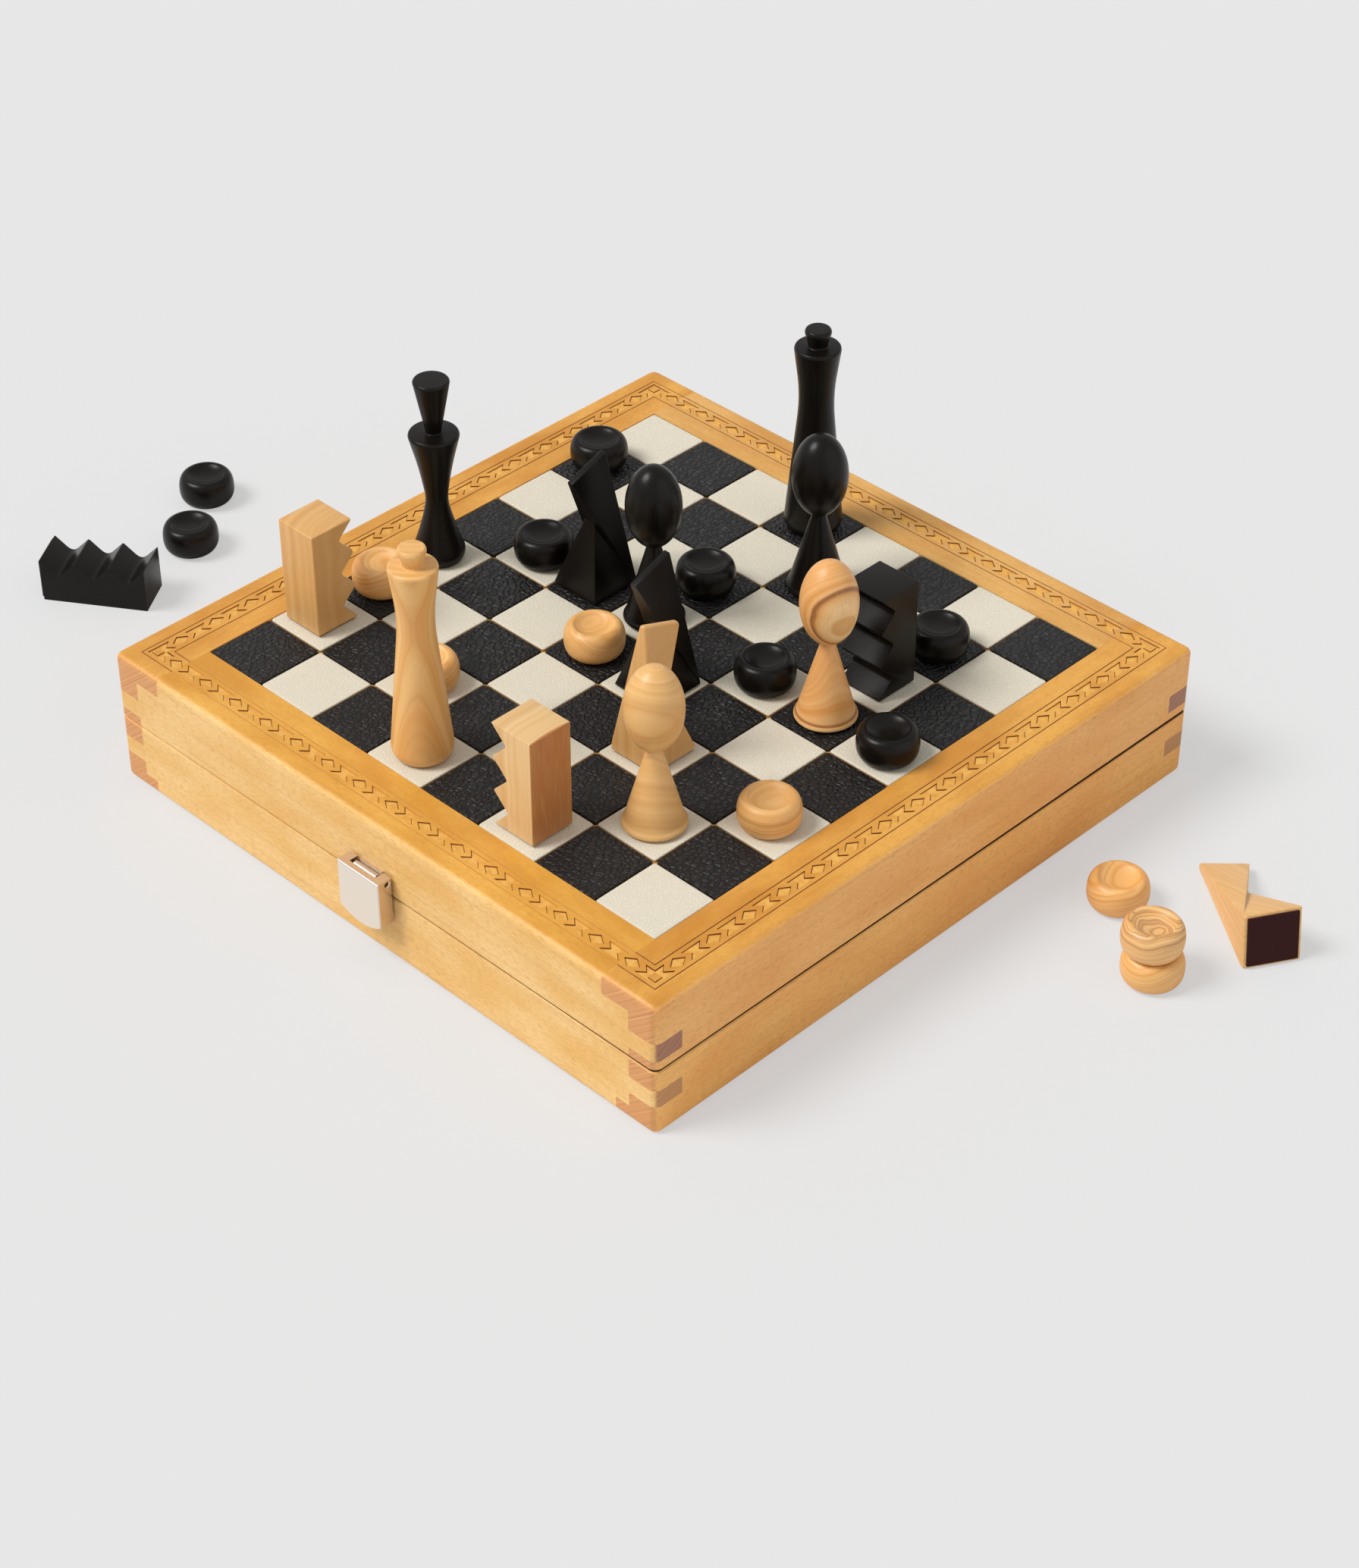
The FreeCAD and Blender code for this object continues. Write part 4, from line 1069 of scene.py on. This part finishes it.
world = bpy.data.worlds.new("studio")
bpy.context.scene.world = world
world.use_nodes = True
tree = world.node_tree
sky = tree.nodes["Background"]
light_path = add(tree, "LightPath")
mirrored = add(
    tree, "Math",
    {0: light_path.outputs["Is Glossy Ray"], 1: light_path.outputs["Is Transmission Ray"]},
    operation="MAXIMUM",
)
# The light on the object, what metal and glass mirror, and the backdrop, as pale as the floor
fill_level, mirror_level, backdrop_level = 0.46, 0.66, 0.8
unseen = add(tree, "MapRange", {"Value": mirrored, "To Min": fill_level, "To Max": mirror_level})
level = add(tree, "Mix", {0: light_path.outputs["Is Camera Ray"], 2: unseen, 3: backdrop_level})
feed(sky, {"Strength": level, "Color": (1, 1, 1, 1)})


def direction(azimuth, height):
    """The way to a place that far round from the front and that high, both in degrees."""
    a, h = math.radians(azimuth), math.radians(height)
    return Vector((math.sin(a) * math.cos(h), -math.cos(a) * math.cos(h), math.sin(h)))


view_azimuth, view_height, view_distance = 44.6108, 38.0390, 1157.1
# Each lamp: how far round from the camera, how high, its share of the light on the floor, its width
for name, round_by, height, share, width in (
    ("key", -80, 52, 0.64, 26), ("side_fill", 55, 24, 0.05, 60),
):
    lamp = bpy.data.lights.new(name, "SUN")
    lamp.energy = math.pi * share / math.sin(math.radians(height))
    lamp.angle = math.radians(width)
    way = direction(view_azimuth + round_by, height)
    in_scene(name, lamp).rotation_euler = way.to_track_quat("Z", "Y").to_euler()

# The focal length and the picture's height are in the photograph's pixels
sensor_width, focal_length, picture_height = 36.0, 4549.4, 2068
look_at = Vector((60.3, -48.5, 54.0))
camera = bpy.data.cameras.new("camera")
camera.sensor_width = sensor_width
camera.lens = sensor_width * focal_length / picture_height
camera.clip_start, camera.clip_end = 0.05, 20.0
eye = in_scene("camera", camera)
back = direction(view_azimuth, view_height)
eye.location = look_at * mm + back * view_distance * mm
eye.rotation_euler = (-back).to_track_quat("-Z", "Y").to_euler()
bpy.context.scene.camera = eye
bpy.context.scene.view_settings.view_transform = "Standard"
